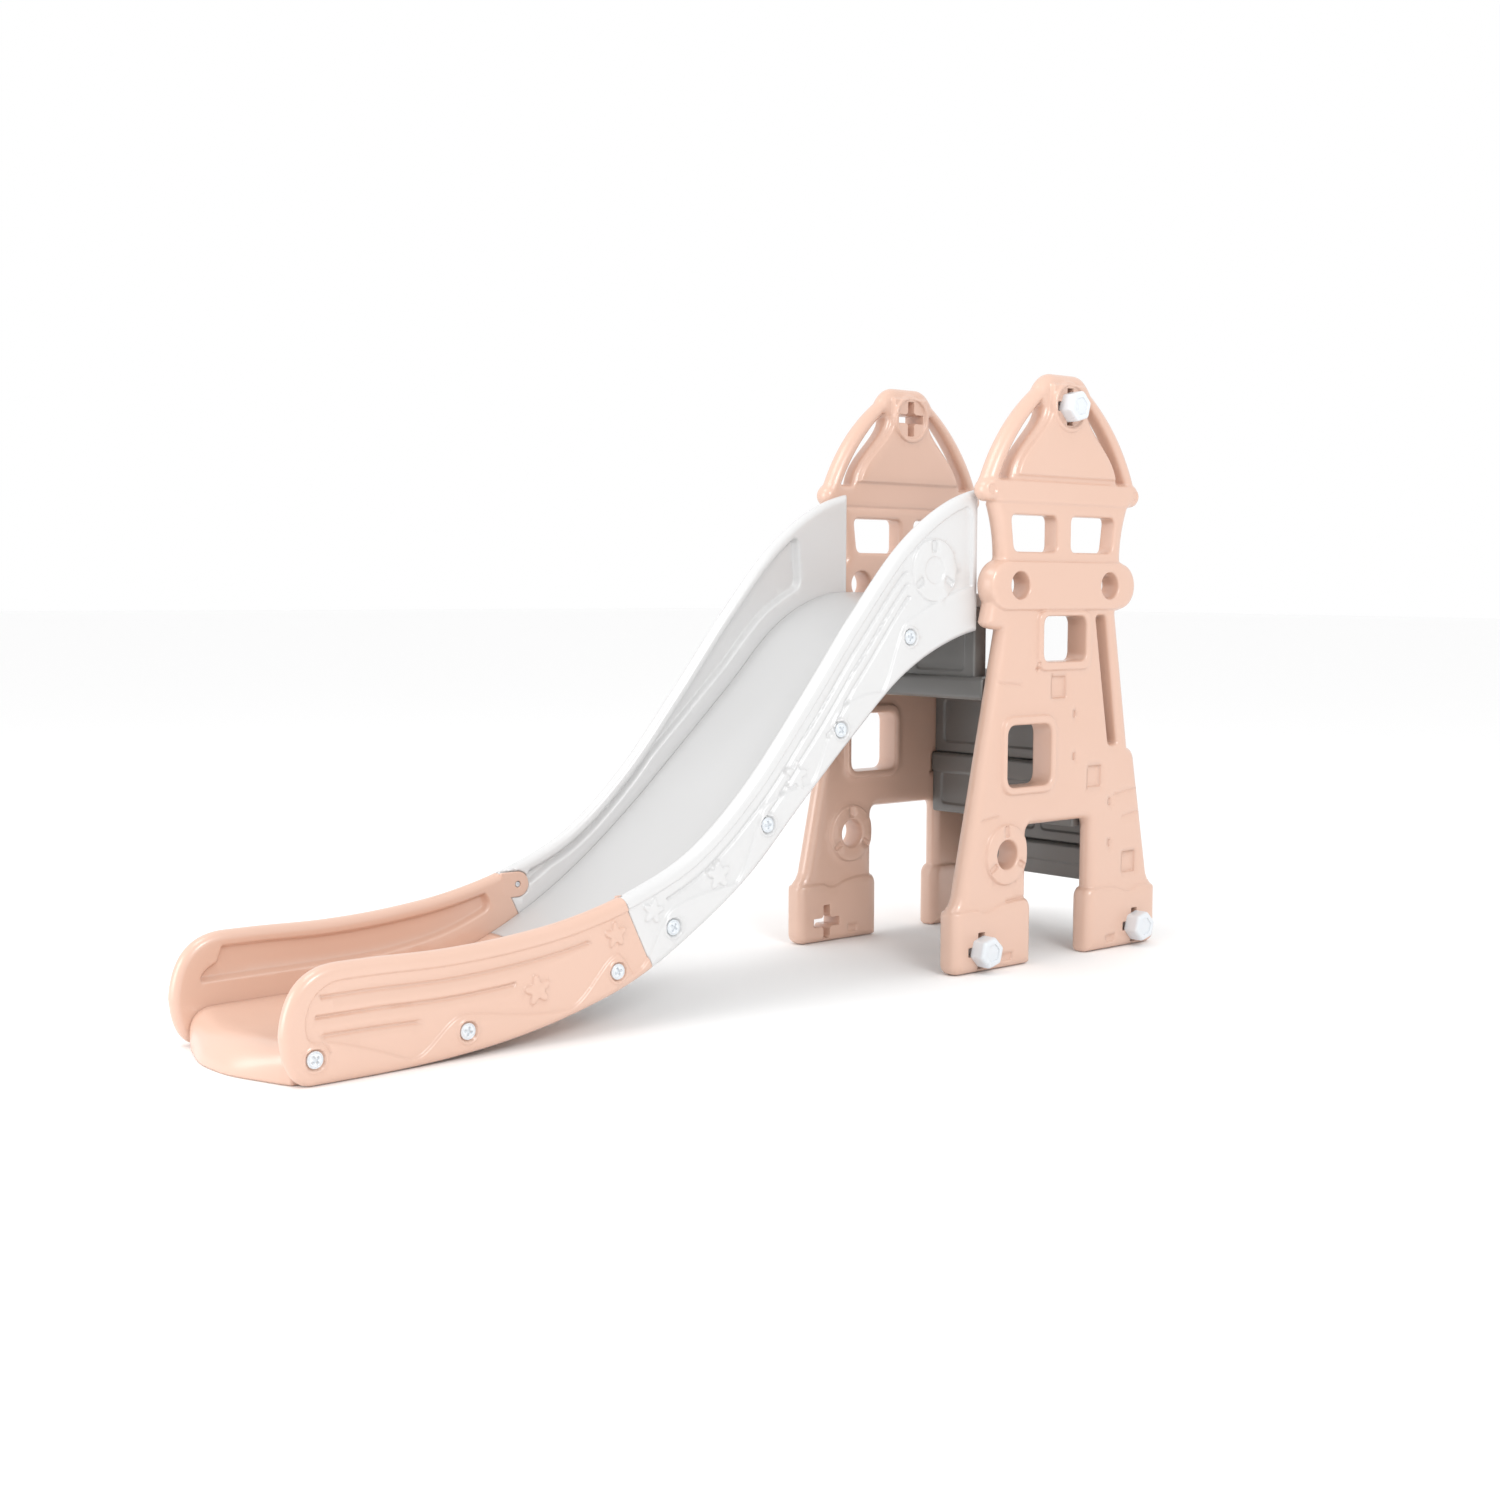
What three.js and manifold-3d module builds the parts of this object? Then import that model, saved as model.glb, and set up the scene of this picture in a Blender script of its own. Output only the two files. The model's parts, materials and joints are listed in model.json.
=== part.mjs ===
// A toddler slide: two blow-moulded tower panels shaped like little castle gables, joined by three
// grey steps, with an S-shaped chute in a white upper and a pink lower half between side rails.
// Millimetres, +Z up, +X from the chute's exit towards the steps. The origin is the middle of the
// object's outline on the floor.
import * as THREE from 'three';
import { mergeVertices } from 'three/addons/utils/BufferGeometryUtils.js';
import Module from 'manifold-3d';

const wasm = await Module();
wasm.setup();

// ---------------------------------------------------------------- driving dimensions

const clearWidth = 382; // between the two tower panels
const gap = 0.3; // between pieces that touch

const tower = {
  wall: 38, // thickness of a panel
  footHalf: 290, // half length over the feet
  footCorner: 22, // radius of a foot's bottom corners
  bootTop: 118, // where the foot's boot ends
  kneeHalf: 270, // half length just above the boot
  kneeRise: 24, // height of the slope from boot to leg
  shoulderHalf: 157, // half length right under the gallery
  galleryBottom: 660,
  galleryHeight: 97,
  galleryHalf: 209, // half length over the gallery's round ends
  waistHalf: 170, // half length just above the gallery
  eaveBottom: 860,
  eaveHalf: 192,
  eaveRoll: 21, // radius of the rolled end of the eave
  roofBottom: 904,
  roofHalf: 206,
  height: 1100,
  crownHalf: 30, // half length of the flat on the crown
  crownShoulder: 74, // half length where the crown meets the roof tubes
  crownDrop: 30,
  roofBow: 15, // how far the roof tubes bow out from a straight line
};
const arch = { half: 90, bootHalf: 80, top: 262, corner: 18 };
const upperWindow = { inner: 20, outerTop: 147, outerBottom: 138, bottom: 771, top: 838, corner: 14 };
const doorway = { half: 60, bottom: 567, top: 652, corner: 18 };
const lowerWindow = { x: -95, z: 394, length: 121, height: 115, corner: 22 };
const roofSlot = { tube: 31, neckHalf: 61, neckTop: 1040, panelFoot: 151, rim: 3 };
const grip = { top: 652, topInner: 97, topOuter: 127, bottom: 402, bottomInner: 141, bottomOuter: 166,
  shoulderTop: 392, shoulderIn: 24, corner: 10 };
const ring = { x: -153, z: 213, hole: 27 };
const gripHole = { x: 127, z: 709, radius: 25 };
const crossHole = { arm: 34, slot: 17, x: 220, footZ: 41, crownZ: 1040 };

const deck = { front: -182, top: 540, upstand: 34, upstandSetBack: 10 };
const step = { pitch: 108, drop: 175, slab: 43, lastDepth: 105, nosing: 3, edge: 9 };
const skirt = { wall: 24, setBack: 3, drop: 80, lastDrop: 26, corner: 4 }; // under a step's back edge
const riser = { x: 75, wall: 24, clearance: 0.3, corner: 3 };
const tongue = { x: -10, length: 38, margin: 1.5, short: 10, pocket: 7, clearance: 0.6 };

// The chute's S runs from its head down to the nose of the rails.
const slide = { head: -146, run: 1437, rise: 693, stationPitch: 117.4 };
const rail = { wall: 28, clearance: 2, end: -190, noseTop: 172, noseMiddle: 75, noseRound: 93, noseFoot: 24 };
const bed = { wall: 40, end: -132, lipForward: 22, lipSetBack: 12, lipRound: 45, lipFoot: 26, hook: 15,
  seamX: -1020 };
const railJoint = { topX: -997, bottomX: -938, tabReach: 24, tabBack: 50, tabRadius: 22, tabWall: 6,
  tabAboveBed: 40 };
const chuteScrew = { head: 14.5, headHeight: 6, sink: 4, shank: 4, bite: 22, depth: 20, clearance: 0.5,
  recess: 3 };
const jointScrew = { head: 4.6, headHeight: 2.6, shank: 2.3, bite: 14, clearance: 0.35 };
const knob = { acrossFlats: 52, height: 32, collar: 19, collarHeight: 3, shank: 14.5, lug: 31, lugWidth: 13,
  lugHeight: 8, chamfer: 5, clearance: 0.6 };

const chuteScrewX = [-1535, -1285, -1009, -898, -698, -532, -366];

// The S of the chute at even stations from its top end down to the exit, as shares of slide.rise.
const bedShares = [1, 0.99, 0.909, 0.747, 0.59, 0.437, 0.304, 0.201, 0.13, 0.098, 0.089, 0.087, 0.085];
const topShares = [1.284, 1.238, 1.126, 0.945, 0.739, 0.545, 0.401, 0.323, 0.277, 0.254, 0.245, 0.248, 0.248];
const footShares = [0.912, 0.872, 0.786, 0.642, 0.485, 0.323, 0.205, 0.113, 0.058, 0.024, 0.006, 0, 0];

// ---------------------------------------------------------------- derived places

const innerFace = clearWidth / 2;
const outerFace = innerFace + tower.wall;
const railOuter = innerFace - rail.clearance;
const railInner = railOuter - rail.wall;
const bedHalf = railInner - gap;
const noseX = slide.head - slide.run;
const lipX = noseX - bed.lipForward;
const knobReach = knob.collarHeight + knob.height + gap;
const middle = { x: (lipX + tower.footHalf) / 2, y: -knobReach / 2 };
const treads = [0, 1, 2].map((level) => deck.top - level * step.drop); // deck, middle step, lower step
const riserX = (level) => riser.x + (level - 1) * step.pitch; // back face of the riser behind a level

// ---------------------------------------------------------------- materials

const plastic = (name, color, roughness) =>
  new THREE.MeshStandardMaterial({ name, color, roughness, metalness: 0 });
const pink = plastic('pink polyethylene', 0xf2cfbb, 0.42);
const white = plastic('white polyethylene', 0xf1f1f0, 0.4);
const grey = plastic('dark grey polyethylene', 0x5d5c5b, 0.5);
const cap = plastic('white nylon', 0xe8ecee, 0.35);

// ---------------------------------------------------------------- solids

/** Closed geometry to manifold solid. */
function solid(geometry) {
  const bare = geometry.clone();
  bare.deleteAttribute('normal');
  bare.deleteAttribute('uv');
  const merged = mergeVertices(bare, 1e-4);
  return new wasm.Manifold(new wasm.Mesh({
    numProp: 3,
    vertProperties: new Float32Array(merged.attributes.position.array),
    triVerts: new Uint32Array(merged.index.array),
  }));
}

/** Manifold solid back to geometry. */
function geometryOf(body) {
  const mesh = body.getMesh();
  const geometry = new THREE.BufferGeometry();
  geometry.setAttribute('position', new THREE.BufferAttribute(new Float32Array(mesh.vertProperties), 3));
  geometry.setIndex(new THREE.BufferAttribute(new Uint32Array(mesh.triVerts), 1));
  geometry.computeVertexNormals();
  return geometry;
}

/** A side outline (x, z) given a thickness along Y, from yLow to yHigh. */
function plate(shape, yLow, yHigh, curveSegments = 6) {
  const depth = yHigh - yLow;
  const geometry = new THREE.ExtrudeGeometry(shape, { depth, bevelEnabled: false, curveSegments });
  geometry.rotateX(Math.PI / 2);
  geometry.translate(0, yHigh, 0);
  return solid(geometry);
}

/** A closed outline through corner points, each corner rounded by its own radius. */
function rounded(points, radii) {
  const path = new THREE.Shape();
  const radiusAt = (i) => (Array.isArray(radii) ? radii[i] : radii);
  points.forEach((point, i) => {
    const here = new THREE.Vector2(...point);
    const before = new THREE.Vector2(...points[(i + points.length - 1) % points.length]);
    const after = new THREE.Vector2(...points[(i + 1) % points.length]);
    const reach = Math.min(radiusAt(i), here.distanceTo(before) * 0.49, here.distanceTo(after) * 0.49);
    const enter = here.clone().lerp(before, reach / here.distanceTo(before));
    const leave = here.clone().lerp(after, reach / here.distanceTo(after));
    if (i === 0) path.moveTo(enter.x, enter.y);
    else path.lineTo(enter.x, enter.y);
    path.quadraticCurveTo(here.x, here.y, leave.x, leave.y);
  });
  path.closePath();
  return path;
}

/** A rectangle from corner to corner with rounded corners. */
const pane = (x0, z0, x1, z1, radius) => rounded([[x0, z0], [x1, z0], [x1, z1], [x0, z1]], radius);

/** A round bar along Y. */
function bar(radius, yLow, yHigh, x, z, sides = 16) {
  const geometry = new THREE.CylinderGeometry(radius, radius, yHigh - yLow, sides);
  geometry.translate(x, (yLow + yHigh) / 2, z);
  return solid(geometry);
}

/** A block between two corners. */
function block(x0, y0, z0, x1, y1, z1) {
  const geometry = new THREE.BoxGeometry(x1 - x0, y1 - y0, z1 - z0);
  geometry.translate((x0 + x1) / 2, (y0 + y1) / 2, (z0 + z1) / 2);
  return solid(geometry);
}

/** Height of a chute line at x: Catmull-Rom through its shares at even stations. */
function lineHeight(shares, x) {
  const t = THREE.MathUtils.clamp((slide.head - x) / slide.stationPitch, 0, shares.length - 1.0001);
  const i = Math.floor(t);
  const at = (n) => shares[THREE.MathUtils.clamp(n, 0, shares.length - 1)];
  const f = t - i;
  const [a, b, c, d] = [at(i - 1), at(i), at(i + 1), at(i + 2)];
  const share = 0.5 * (2 * b + (c - a) * f + (2 * a - 5 * b + 4 * c - d) * f * f
    + (3 * b - a - 3 * c + d) * f * f * f);
  return Math.max(share, 0) * slide.rise;
}

/** Slope of a chute line at x. */
const lineSlope = (shares, x) => (lineHeight(shares, x + 1) - lineHeight(shares, x - 1)) / 2;

/** Points of a chute line from one x to another, both ends included. */
function linePoints(shares, from, to, steps) {
  return Array.from({ length: steps + 1 }, (_, i) => {
    const x = from + ((to - from) * i) / steps;
    return [x, lineHeight(shares, x)];
  });
}

// ---------------------------------------------------------------- towers

/** Outer edge of a roof tube, from the eave up to the crown, for one side (sign of x). */
function roofCurve(inset) {
  const foot = new THREE.Vector2(tower.roofHalf, tower.roofBottom);
  const crown = new THREE.Vector2(tower.crownShoulder, tower.height - tower.crownDrop);
  const along = crown.clone().sub(foot).normalize();
  const out = new THREE.Vector2(along.y, -along.x);
  const control = foot.clone().add(crown).multiplyScalar(0.5).addScaledVector(out, 2 * tower.roofBow - inset);
  return { foot, crown, control, out };
}

/** Side outline of a tower panel. */
function towerOutline() {
  const t = tower;
  const path = new THREE.Shape();
  const gripTopX = t.shoulderHalf;
  const legFoot = t.bootTop + t.kneeRise;
  const legX = (z) => THREE.MathUtils.mapLinear(z, legFoot, t.galleryBottom, t.kneeHalf, gripTopX);
  const galleryZ = t.galleryBottom + t.galleryHeight / 2;
  const galleryRound = t.galleryHeight / 2;
  const rollZ = t.eaveBottom + t.eaveRoll;
  const rollX = t.roofHalf - 6;
  const roof = roofCurve(0);
  const a = arch;
  // feet and arch, from left to right
  path.moveTo(-t.footHalf + t.footCorner, 0);
  path.lineTo(-a.bootHalf - 8, 0);
  path.quadraticCurveTo(-a.bootHalf, 0, -a.bootHalf, 8);
  path.lineTo(-a.bootHalf, t.bootTop - 14);
  path.quadraticCurveTo(-a.bootHalf, t.bootTop, -a.half, t.bootTop + 8);
  path.lineTo(-a.half, a.top - a.corner);
  path.quadraticCurveTo(-a.half, a.top, -a.half + a.corner, a.top);
  path.lineTo(a.half - a.corner, a.top);
  path.quadraticCurveTo(a.half, a.top, a.half, a.top - a.corner);
  path.lineTo(a.half, t.bootTop + 8);
  path.quadraticCurveTo(a.bootHalf, t.bootTop, a.bootHalf, t.bootTop - 14);
  path.lineTo(a.bootHalf, 8);
  path.quadraticCurveTo(a.bootHalf, 0, a.bootHalf + 8, 0);
  path.lineTo(t.footHalf - t.footCorner, 0);
  path.quadraticCurveTo(t.footHalf, 0, t.footHalf, t.footCorner);
  path.lineTo(t.footHalf, t.bootTop - 10);
  path.quadraticCurveTo(t.footHalf, t.bootTop, t.kneeHalf + 6, t.bootTop + t.kneeRise / 2);
  path.lineTo(t.kneeHalf, t.bootTop + t.kneeRise);
  // the rear leg up to the hand grip, then the grip tube
  path.lineTo(legX(grip.shoulderTop - 26) + 4, grip.shoulderTop - 26);
  const shoulderX = legX(grip.shoulderTop);
  path.quadraticCurveTo(shoulderX + 6, grip.shoulderTop, shoulderX - grip.shoulderIn / 2, grip.shoulderTop + 2);
  path.lineTo(gripTopX + 2, t.galleryBottom - 4);
  path.lineTo(t.galleryHalf - galleryRound, t.galleryBottom);
  path.absarc(t.galleryHalf - galleryRound, galleryZ, galleryRound, -Math.PI / 2, Math.PI * 0.42, false);
  path.lineTo(t.waistHalf, t.galleryBottom + t.galleryHeight + 3);
  path.quadraticCurveTo(t.waistHalf, t.eaveBottom - 50, t.eaveHalf, t.eaveBottom);
  // rolled eave end and roof
  path.absarc(rollX, rollZ, t.eaveRoll, -Math.PI / 2, Math.PI * 0.3, false);
  path.lineTo(roof.foot.x, roof.foot.y + 4);
  path.quadraticCurveTo(roof.control.x, roof.control.y, roof.crown.x, roof.crown.y);
  path.quadraticCurveTo(t.crownHalf + 25, t.height, t.crownHalf, t.height);
  path.lineTo(-t.crownHalf, t.height);
  path.quadraticCurveTo(-t.crownHalf - 25, t.height, -roof.crown.x, roof.crown.y);
  path.quadraticCurveTo(-roof.control.x, roof.control.y, -roof.foot.x, roof.foot.y + 4);
  path.absarc(-rollX, rollZ, t.eaveRoll, Math.PI * 0.7, Math.PI * 1.5, false);
  path.lineTo(-t.eaveHalf, t.eaveBottom);
  path.quadraticCurveTo(-t.waistHalf, t.eaveBottom - 50, -t.waistHalf, t.galleryBottom + t.galleryHeight + 3);
  path.absarc(-t.galleryHalf + galleryRound, galleryZ, galleryRound, Math.PI * 0.58, Math.PI * 1.22, false);
  // the corbel under the gallery and the front leg
  path.lineTo(-t.galleryHalf + 2, t.galleryBottom - 18);
  path.quadraticCurveTo(-t.galleryHalf + 4, t.galleryBottom - 32, -gripTopX - 8, t.galleryBottom - 32);
  path.lineTo(-t.kneeHalf, t.bootTop + t.kneeRise);
  path.lineTo(-t.kneeHalf - 6, t.bootTop + t.kneeRise / 2);
  path.quadraticCurveTo(-t.footHalf, t.bootTop, -t.footHalf, t.bootTop - 10);
  path.lineTo(-t.footHalf, t.footCorner);
  path.quadraticCurveTo(-t.footHalf, 0, -t.footHalf + t.footCorner, 0);
  return path;
}

/** One of the two long slots between a roof tube and the gable panel. */
function roofSlotOutline(side) {
  const s = roofSlot;
  const roof = roofCurve(0);
  const tubeFoot = roof.foot.x - s.tube * 0.9;
  const inner = roof.control.clone().addScaledVector(roof.out, -s.tube);
  const topX = s.neckHalf + 5;
  const path = new THREE.Shape();
  path.moveTo(side * (s.panelFoot + s.rim), tower.roofBottom);
  path.lineTo(side * tubeFoot, tower.roofBottom);
  path.quadraticCurveTo(side * inner.x, inner.y, side * topX, s.neckTop + 8);
  path.lineTo(side * s.neckHalf, s.neckTop);
  path.bezierCurveTo(side * (s.neckHalf + 1), s.neckTop - 40,
    side * (s.panelFoot - 11), tower.roofBottom + 62, side * s.panelFoot, tower.roofBottom + s.rim);
  path.closePath();
  return path;
}

/** An upper window; side is the sign of x. */
function upperWindowOutline(side) {
  const w = upperWindow;
  return rounded([[side * w.inner, w.bottom], [side * w.outerBottom, w.bottom], [side * w.outerTop, w.top],
    [side * w.inner, w.top]], w.corner);
}

/** Centre x, lowest z and highest z of the socket that takes a step's tongue. */
function socketOf(index) {
  const top = treads[index];
  const low = top - step.slab + tongue.margin;
  return { x: tongue.x + index * step.pitch, low, high: top - tongue.margin };
}

/** The cross-shaped hole that takes a knob's bayonet. */
function crossCutter(x, z, yLow, yHigh) {
  const { arm, slot } = crossHole;
  const across = block(x - arm, yLow, z - slot / 2, x + arm, yHigh, z + slot / 2);
  const upright = block(x - slot / 2, yLow, z - arm, x + slot / 2, yHigh, z + arm);
  return across.add(upright).add(bar(knob.shank + knob.clearance, yLow, yHigh, x, z, 20));
}

/** A tower panel about its own middle plane, y from -wall/2 to wall/2; sign is its outer side. */
function towerGeometry(sign) {
  const half = tower.wall / 2;
  const past = half + 5;
  let body = plate(towerOutline(), -half, half, 7);
  const cut = (cutter) => { body = body.subtract(cutter); };
  const w = lowerWindow;
  for (const side of [-1, 1]) {
    cut(plate(roofSlotOutline(side), -past, past, 8));
    cut(plate(upperWindowOutline(side), -past, past, 3));
    cut(bar(gripHole.radius, -past, past, side * gripHole.x, gripHole.z, 20));
    cut(crossCutter(side * crossHole.x, crossHole.footZ, -past, past));
  }
  cut(crossCutter(0, crossHole.crownZ, -past, past));
  cut(plate(pane(-doorway.half, doorway.bottom, doorway.half, doorway.top, doorway.corner), -past, past, 4));
  cut(plate(pane(w.x - w.length / 2, w.z - w.height / 2, w.x + w.length / 2, w.z + w.height / 2, w.corner),
    -past, past, 4));
  cut(plate(rounded([[grip.topInner, grip.top], [grip.bottomInner, grip.bottom],
    [grip.bottomOuter, grip.bottom], [grip.topOuter, grip.top]], grip.corner), -past, past, 3));
  cut(bar(ring.hole, -past, past, ring.x, ring.z, 20));
  treads.forEach((_, i) => {
    const socket = socketOf(i);
    const { clearance } = tongue;
    const halfLength = tongue.length / 2 + clearance;
    const hollow = (from, to) => cut(block(socket.x - halfLength, Math.min(from, to), socket.low - clearance,
      socket.x + halfLength, Math.max(from, to), socket.high + clearance));
    hollow(-sign * past, sign * (half - tongue.short + clearance)); // takes the tongue
    hollow(sign * (half - tongue.pocket), sign * past); // shows its place outside
  });
  return geometryOf(body);
}

// ---------------------------------------------------------------- steps

/** Two tongues that reach from a step's ends into the towers' sockets. */
function tongues(index) {
  const socket = socketOf(index);
  const reach = outerFace - tongue.short;
  const half = tongue.length / 2;
  return block(socket.x - half, -reach, socket.low, socket.x + half, reach, socket.high);
}

/** The deck at the head of the chute, with the upstand that the bed hooks over. */
function deckGeometry() {
  const end = innerFace - gap;
  const { front, top, upstand, upstandSetBack } = deck;
  const back = riserX(1) + riser.wall + step.nosing;
  const slab = plate(pane(front, top - step.slab, back, top, step.edge), -end, end, 3);
  const upFront = front + upstandSetBack;
  const upright = plate(pane(upFront, top - step.slab / 2, upFront + upstand, hookZ() - gap, skirt.corner),
    -bedHalf, bedHalf, 2);
  return geometryOf(slab.add(upright).add(tongues(0)));
}

/** A step: tread slab, tongues and a skirt under its back edge. */
function stepGeometry(level) {
  const end = innerFace - gap;
  const back = riserX(level);
  const top = treads[level];
  const isLast = level === treads.length - 1;
  const front = isLast ? back + step.lastDepth : riserX(level + 1) + riser.wall + step.nosing;
  const slab = plate(pane(back, top - step.slab, front, top, step.edge), -end, end, 3);
  const skirtFoot = top - step.slab - (isLast ? skirt.lastDrop : skirt.drop);
  const skirtBack = back + skirt.setBack;
  const apron = plate(pane(skirtBack, skirtFoot, skirtBack + skirt.wall, top - step.slab / 2, skirt.corner),
    -end, end, 2);
  return geometryOf(slab.add(apron).add(tongues(level)));
}

/** The panel that closes the space between a step and the one above it. */
function riserGeometry(level) {
  const end = innerFace - gap;
  const back = riserX(level);
  const foot = treads[level] + riser.clearance;
  const roof = treads[level - 1] - step.slab - riser.clearance;
  const insideEdge = step.edge; // starts where the tread below is flat
  const outline = pane(back + insideEdge, foot, back + riser.wall, roof, riser.corner);
  return geometryOf(plate(outline, -end, end, 2));
}

// ---------------------------------------------------------------- chute

/** x of the slanted joint between the two halves of a rail, at height z. */
function jointX(z) {
  const top = lineHeight(topShares, railJoint.topX);
  const foot = lineHeight(footShares, railJoint.bottomX);
  return THREE.MathUtils.mapLinear(z, foot, top, railJoint.bottomX, railJoint.topX);
}

/** Side outline of the lower half of a rail, with its rounded nose. */
function lowerRailOutline() {
  const path = new THREE.Shape();
  const r = rail;
  linePoints(footShares, noseX + 2 * r.noseFoot, railJoint.bottomX - gap, 10).forEach(([x, z], i) => {
    if (i === 0) path.moveTo(x, z);
    else path.lineTo(x, z);
  });
  linePoints(topShares, railJoint.topX - gap, noseX + r.noseRound, 9).forEach(([x, z]) => path.lineTo(x, z));
  path.quadraticCurveTo(noseX + 8, r.noseTop, noseX, r.noseMiddle);
  path.quadraticCurveTo(noseX + 6, 0, noseX + 2 * r.noseFoot, 0);
  return path;
}

/** Side outline of the upper half of a rail. */
function upperRailOutline() {
  const path = new THREE.Shape();
  const upper = linePoints(topShares, railJoint.topX + gap, rail.end, 14);
  const lower = linePoints(footShares, rail.end, railJoint.bottomX + gap, 14);
  [...upper.reverse(), ...lower.reverse()].reverse().forEach(([x, z], i) => {
    if (i === 0) path.moveTo(x, z);
    else path.lineTo(x, z);
  });
  path.closePath();
  return path;
}

/** Middle of the joint's tab. */
function tabCentre() {
  const bedHere = lineHeight(bedShares, (railJoint.topX + railJoint.bottomX) / 2 + railJoint.tabReach);
  const z = bedHere + railJoint.tabAboveBed;
  return { x: jointX(z) + railJoint.tabReach, z };
}

/** The joint's round-ended tab, grown all round by a clearance; y from yLow to yHigh. */
function tabSolid(grow, yLow, yHigh) {
  const centre = tabCentre();
  const radius = railJoint.tabRadius + grow;
  const back = centre.x - railJoint.tabBack;
  const path = new THREE.Shape();
  path.moveTo(back, centre.z - radius);
  path.absarc(centre.x, centre.z, radius, -Math.PI / 2, Math.PI / 2, false);
  path.lineTo(back, centre.z + radius);
  path.closePath();
  return plate(path, yLow, yHigh, 12);
}

/** Places of the screws that hold a rail to the bed. */
function chuteScrewPlaces() {
  return chuteScrewX.map((x) => {
    const slope = lineSlope(bedShares, x);
    return { x, z: lineHeight(bedShares, x) - chuteScrew.depth * Math.hypot(1, slope) };
  });
}

/** Holes for the chute screws, for the rail or bed on one side (sign of y). */
function chuteScrewCutters(side, radius, yFrom, yTo, places) {
  const [low, high] = [Math.min(side * yFrom, side * yTo), Math.max(side * yFrom, side * yTo)];
  return places.map(({ x, z }) => bar(radius, low, high, x, z, 14));
}

/** One half of a rail on one side, in the chute's own frame. */
function railGeometry(side, isLower) {
  const s = chuteScrew;
  const span = (from, to) => [Math.min(side * from, side * to), Math.max(side * from, side * to)];
  const places = chuteScrewPlaces().filter(({ x, z }) => (x < jointX(z)) === isLower);
  let body = plate(isLower ? lowerRailOutline() : upperRailOutline(), ...span(railInner, railOuter));
  const through = chuteScrewCutters(side, s.shank + s.clearance, railInner - 5, railOuter + 5, places);
  const sinkFloor = railOuter - s.sink - gap;
  const sinks = chuteScrewCutters(side, s.head + s.clearance, sinkFloor, railOuter + 5, places);
  for (const cutter of [...through, ...sinks]) body = body.subtract(cutter);
  const tabFace = railInner + railJoint.tabWall;
  const tab = tabCentre();
  const hole = (radius, from, to) => bar(radius, ...span(from, to), tab.x, tab.z, 14);
  if (isLower) {
    const j = jointScrew;
    body = body.add(tabSolid(0, ...span(railInner, tabFace)));
    body = body.subtract(hole(j.head + j.clearance, railInner - 5, railInner + j.headHeight + 1));
    return geometryOf(body.subtract(hole(j.shank + j.clearance, railInner - 5, tabFace + 5)));
  }
  body = body.subtract(tabSolid(gap, ...span(railInner - 5, tabFace + gap)));
  const pilot = jointScrew.shank + jointScrew.clearance;
  return geometryOf(body.subtract(hole(pilot, railInner - 5, railInner + jointScrew.bite + 2)));
}

/** Height of the bed's underside at x. */
function bedUnderside(x) {
  const thickness = bed.wall * Math.min(Math.hypot(1, lineSlope(bedShares, x)), 1.35);
  return lineHeight(bedShares, x) - thickness;
}

/** Height of the recess under the bed's head, where it rests on the deck's upstand. */
const hookZ = () => bedUnderside(bed.end) + bed.hook;

/** Side outline of a stretch of the bed between two x, with a rounded lip at the exit if wanted. */
function bedOutline(from, to, hasLip) {
  const path = new THREE.Shape();
  const steps = hasLip ? 12 : 22;
  linePoints(bedShares, from, to, steps).forEach(([x, z], i) => {
    if (i === 0) path.moveTo(x, z);
    else path.lineTo(x, z);
  });
  linePoints(bedShares, to, from, steps).forEach(([x]) => path.lineTo(x, bedUnderside(x)));
  if (hasLip) {
    const lipTop = lineHeight(bedShares, from);
    path.lineTo(from, 2);
    path.lineTo(lipX + bed.lipFoot, 0);
    path.quadraticCurveTo(lipX, 0, lipX, lipTop / 2);
    path.quadraticCurveTo(lipX, lipTop, from, lipTop);
  }
  path.closePath();
  return path;
}

/** The pink lower half of the bed, whose lip bows forward between the rails. */
function lowerBedGeometry() {
  const body = plate(bedOutline(noseX + bed.lipRound, bed.seamX - gap, true), -bedHalf, bedHalf, 6);
  const cornerX = noseX + bed.lipSetBack;
  const plan = new THREE.Shape();
  plan.moveTo(0, -bedHalf);
  plan.lineTo(cornerX, -bedHalf);
  plan.quadraticCurveTo(2 * lipX - cornerX, 0, cornerX, bedHalf);
  plan.lineTo(0, bedHalf);
  plan.closePath();
  const depth = slide.rise + 2;
  const mask = new THREE.ExtrudeGeometry(plan, { depth, bevelEnabled: false, curveSegments: 12 });
  mask.translate(0, 0, -1);
  return geometryOf(withScrewHoles(body.intersect(solid(mask)), true));
}

/** The white upper half of the bed, hooked over the deck's upstand. */
function upperBedGeometry() {
  const body = plate(bedOutline(bed.seamX + gap, bed.end, false), -bedHalf, bedHalf);
  const hookFront = deck.front + deck.upstandSetBack - 1;
  const hook = block(hookFront, -railInner, hookZ() - 2 * bed.wall, bed.end + 1, railInner, hookZ());
  return geometryOf(withScrewHoles(body.subtract(hook), false));
}

/** Blind holes in both edges of the bed for the chute screws. */
function withScrewHoles(body, isLower) {
  const s = chuteScrew;
  const places = chuteScrewPlaces().filter(({ x }) => (x < bed.seamX) === isLower);
  let drilled = body;
  for (const side of [-1, 1]) {
    const tip = railInner - s.bite - 1;
    const cutters = chuteScrewCutters(side, s.shank + s.clearance, tip, railInner + 5, places);
    for (const cutter of cutters) drilled = drilled.subtract(cutter);
  }
  return drilled;
}

// ---------------------------------------------------------------- fasteners

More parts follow.
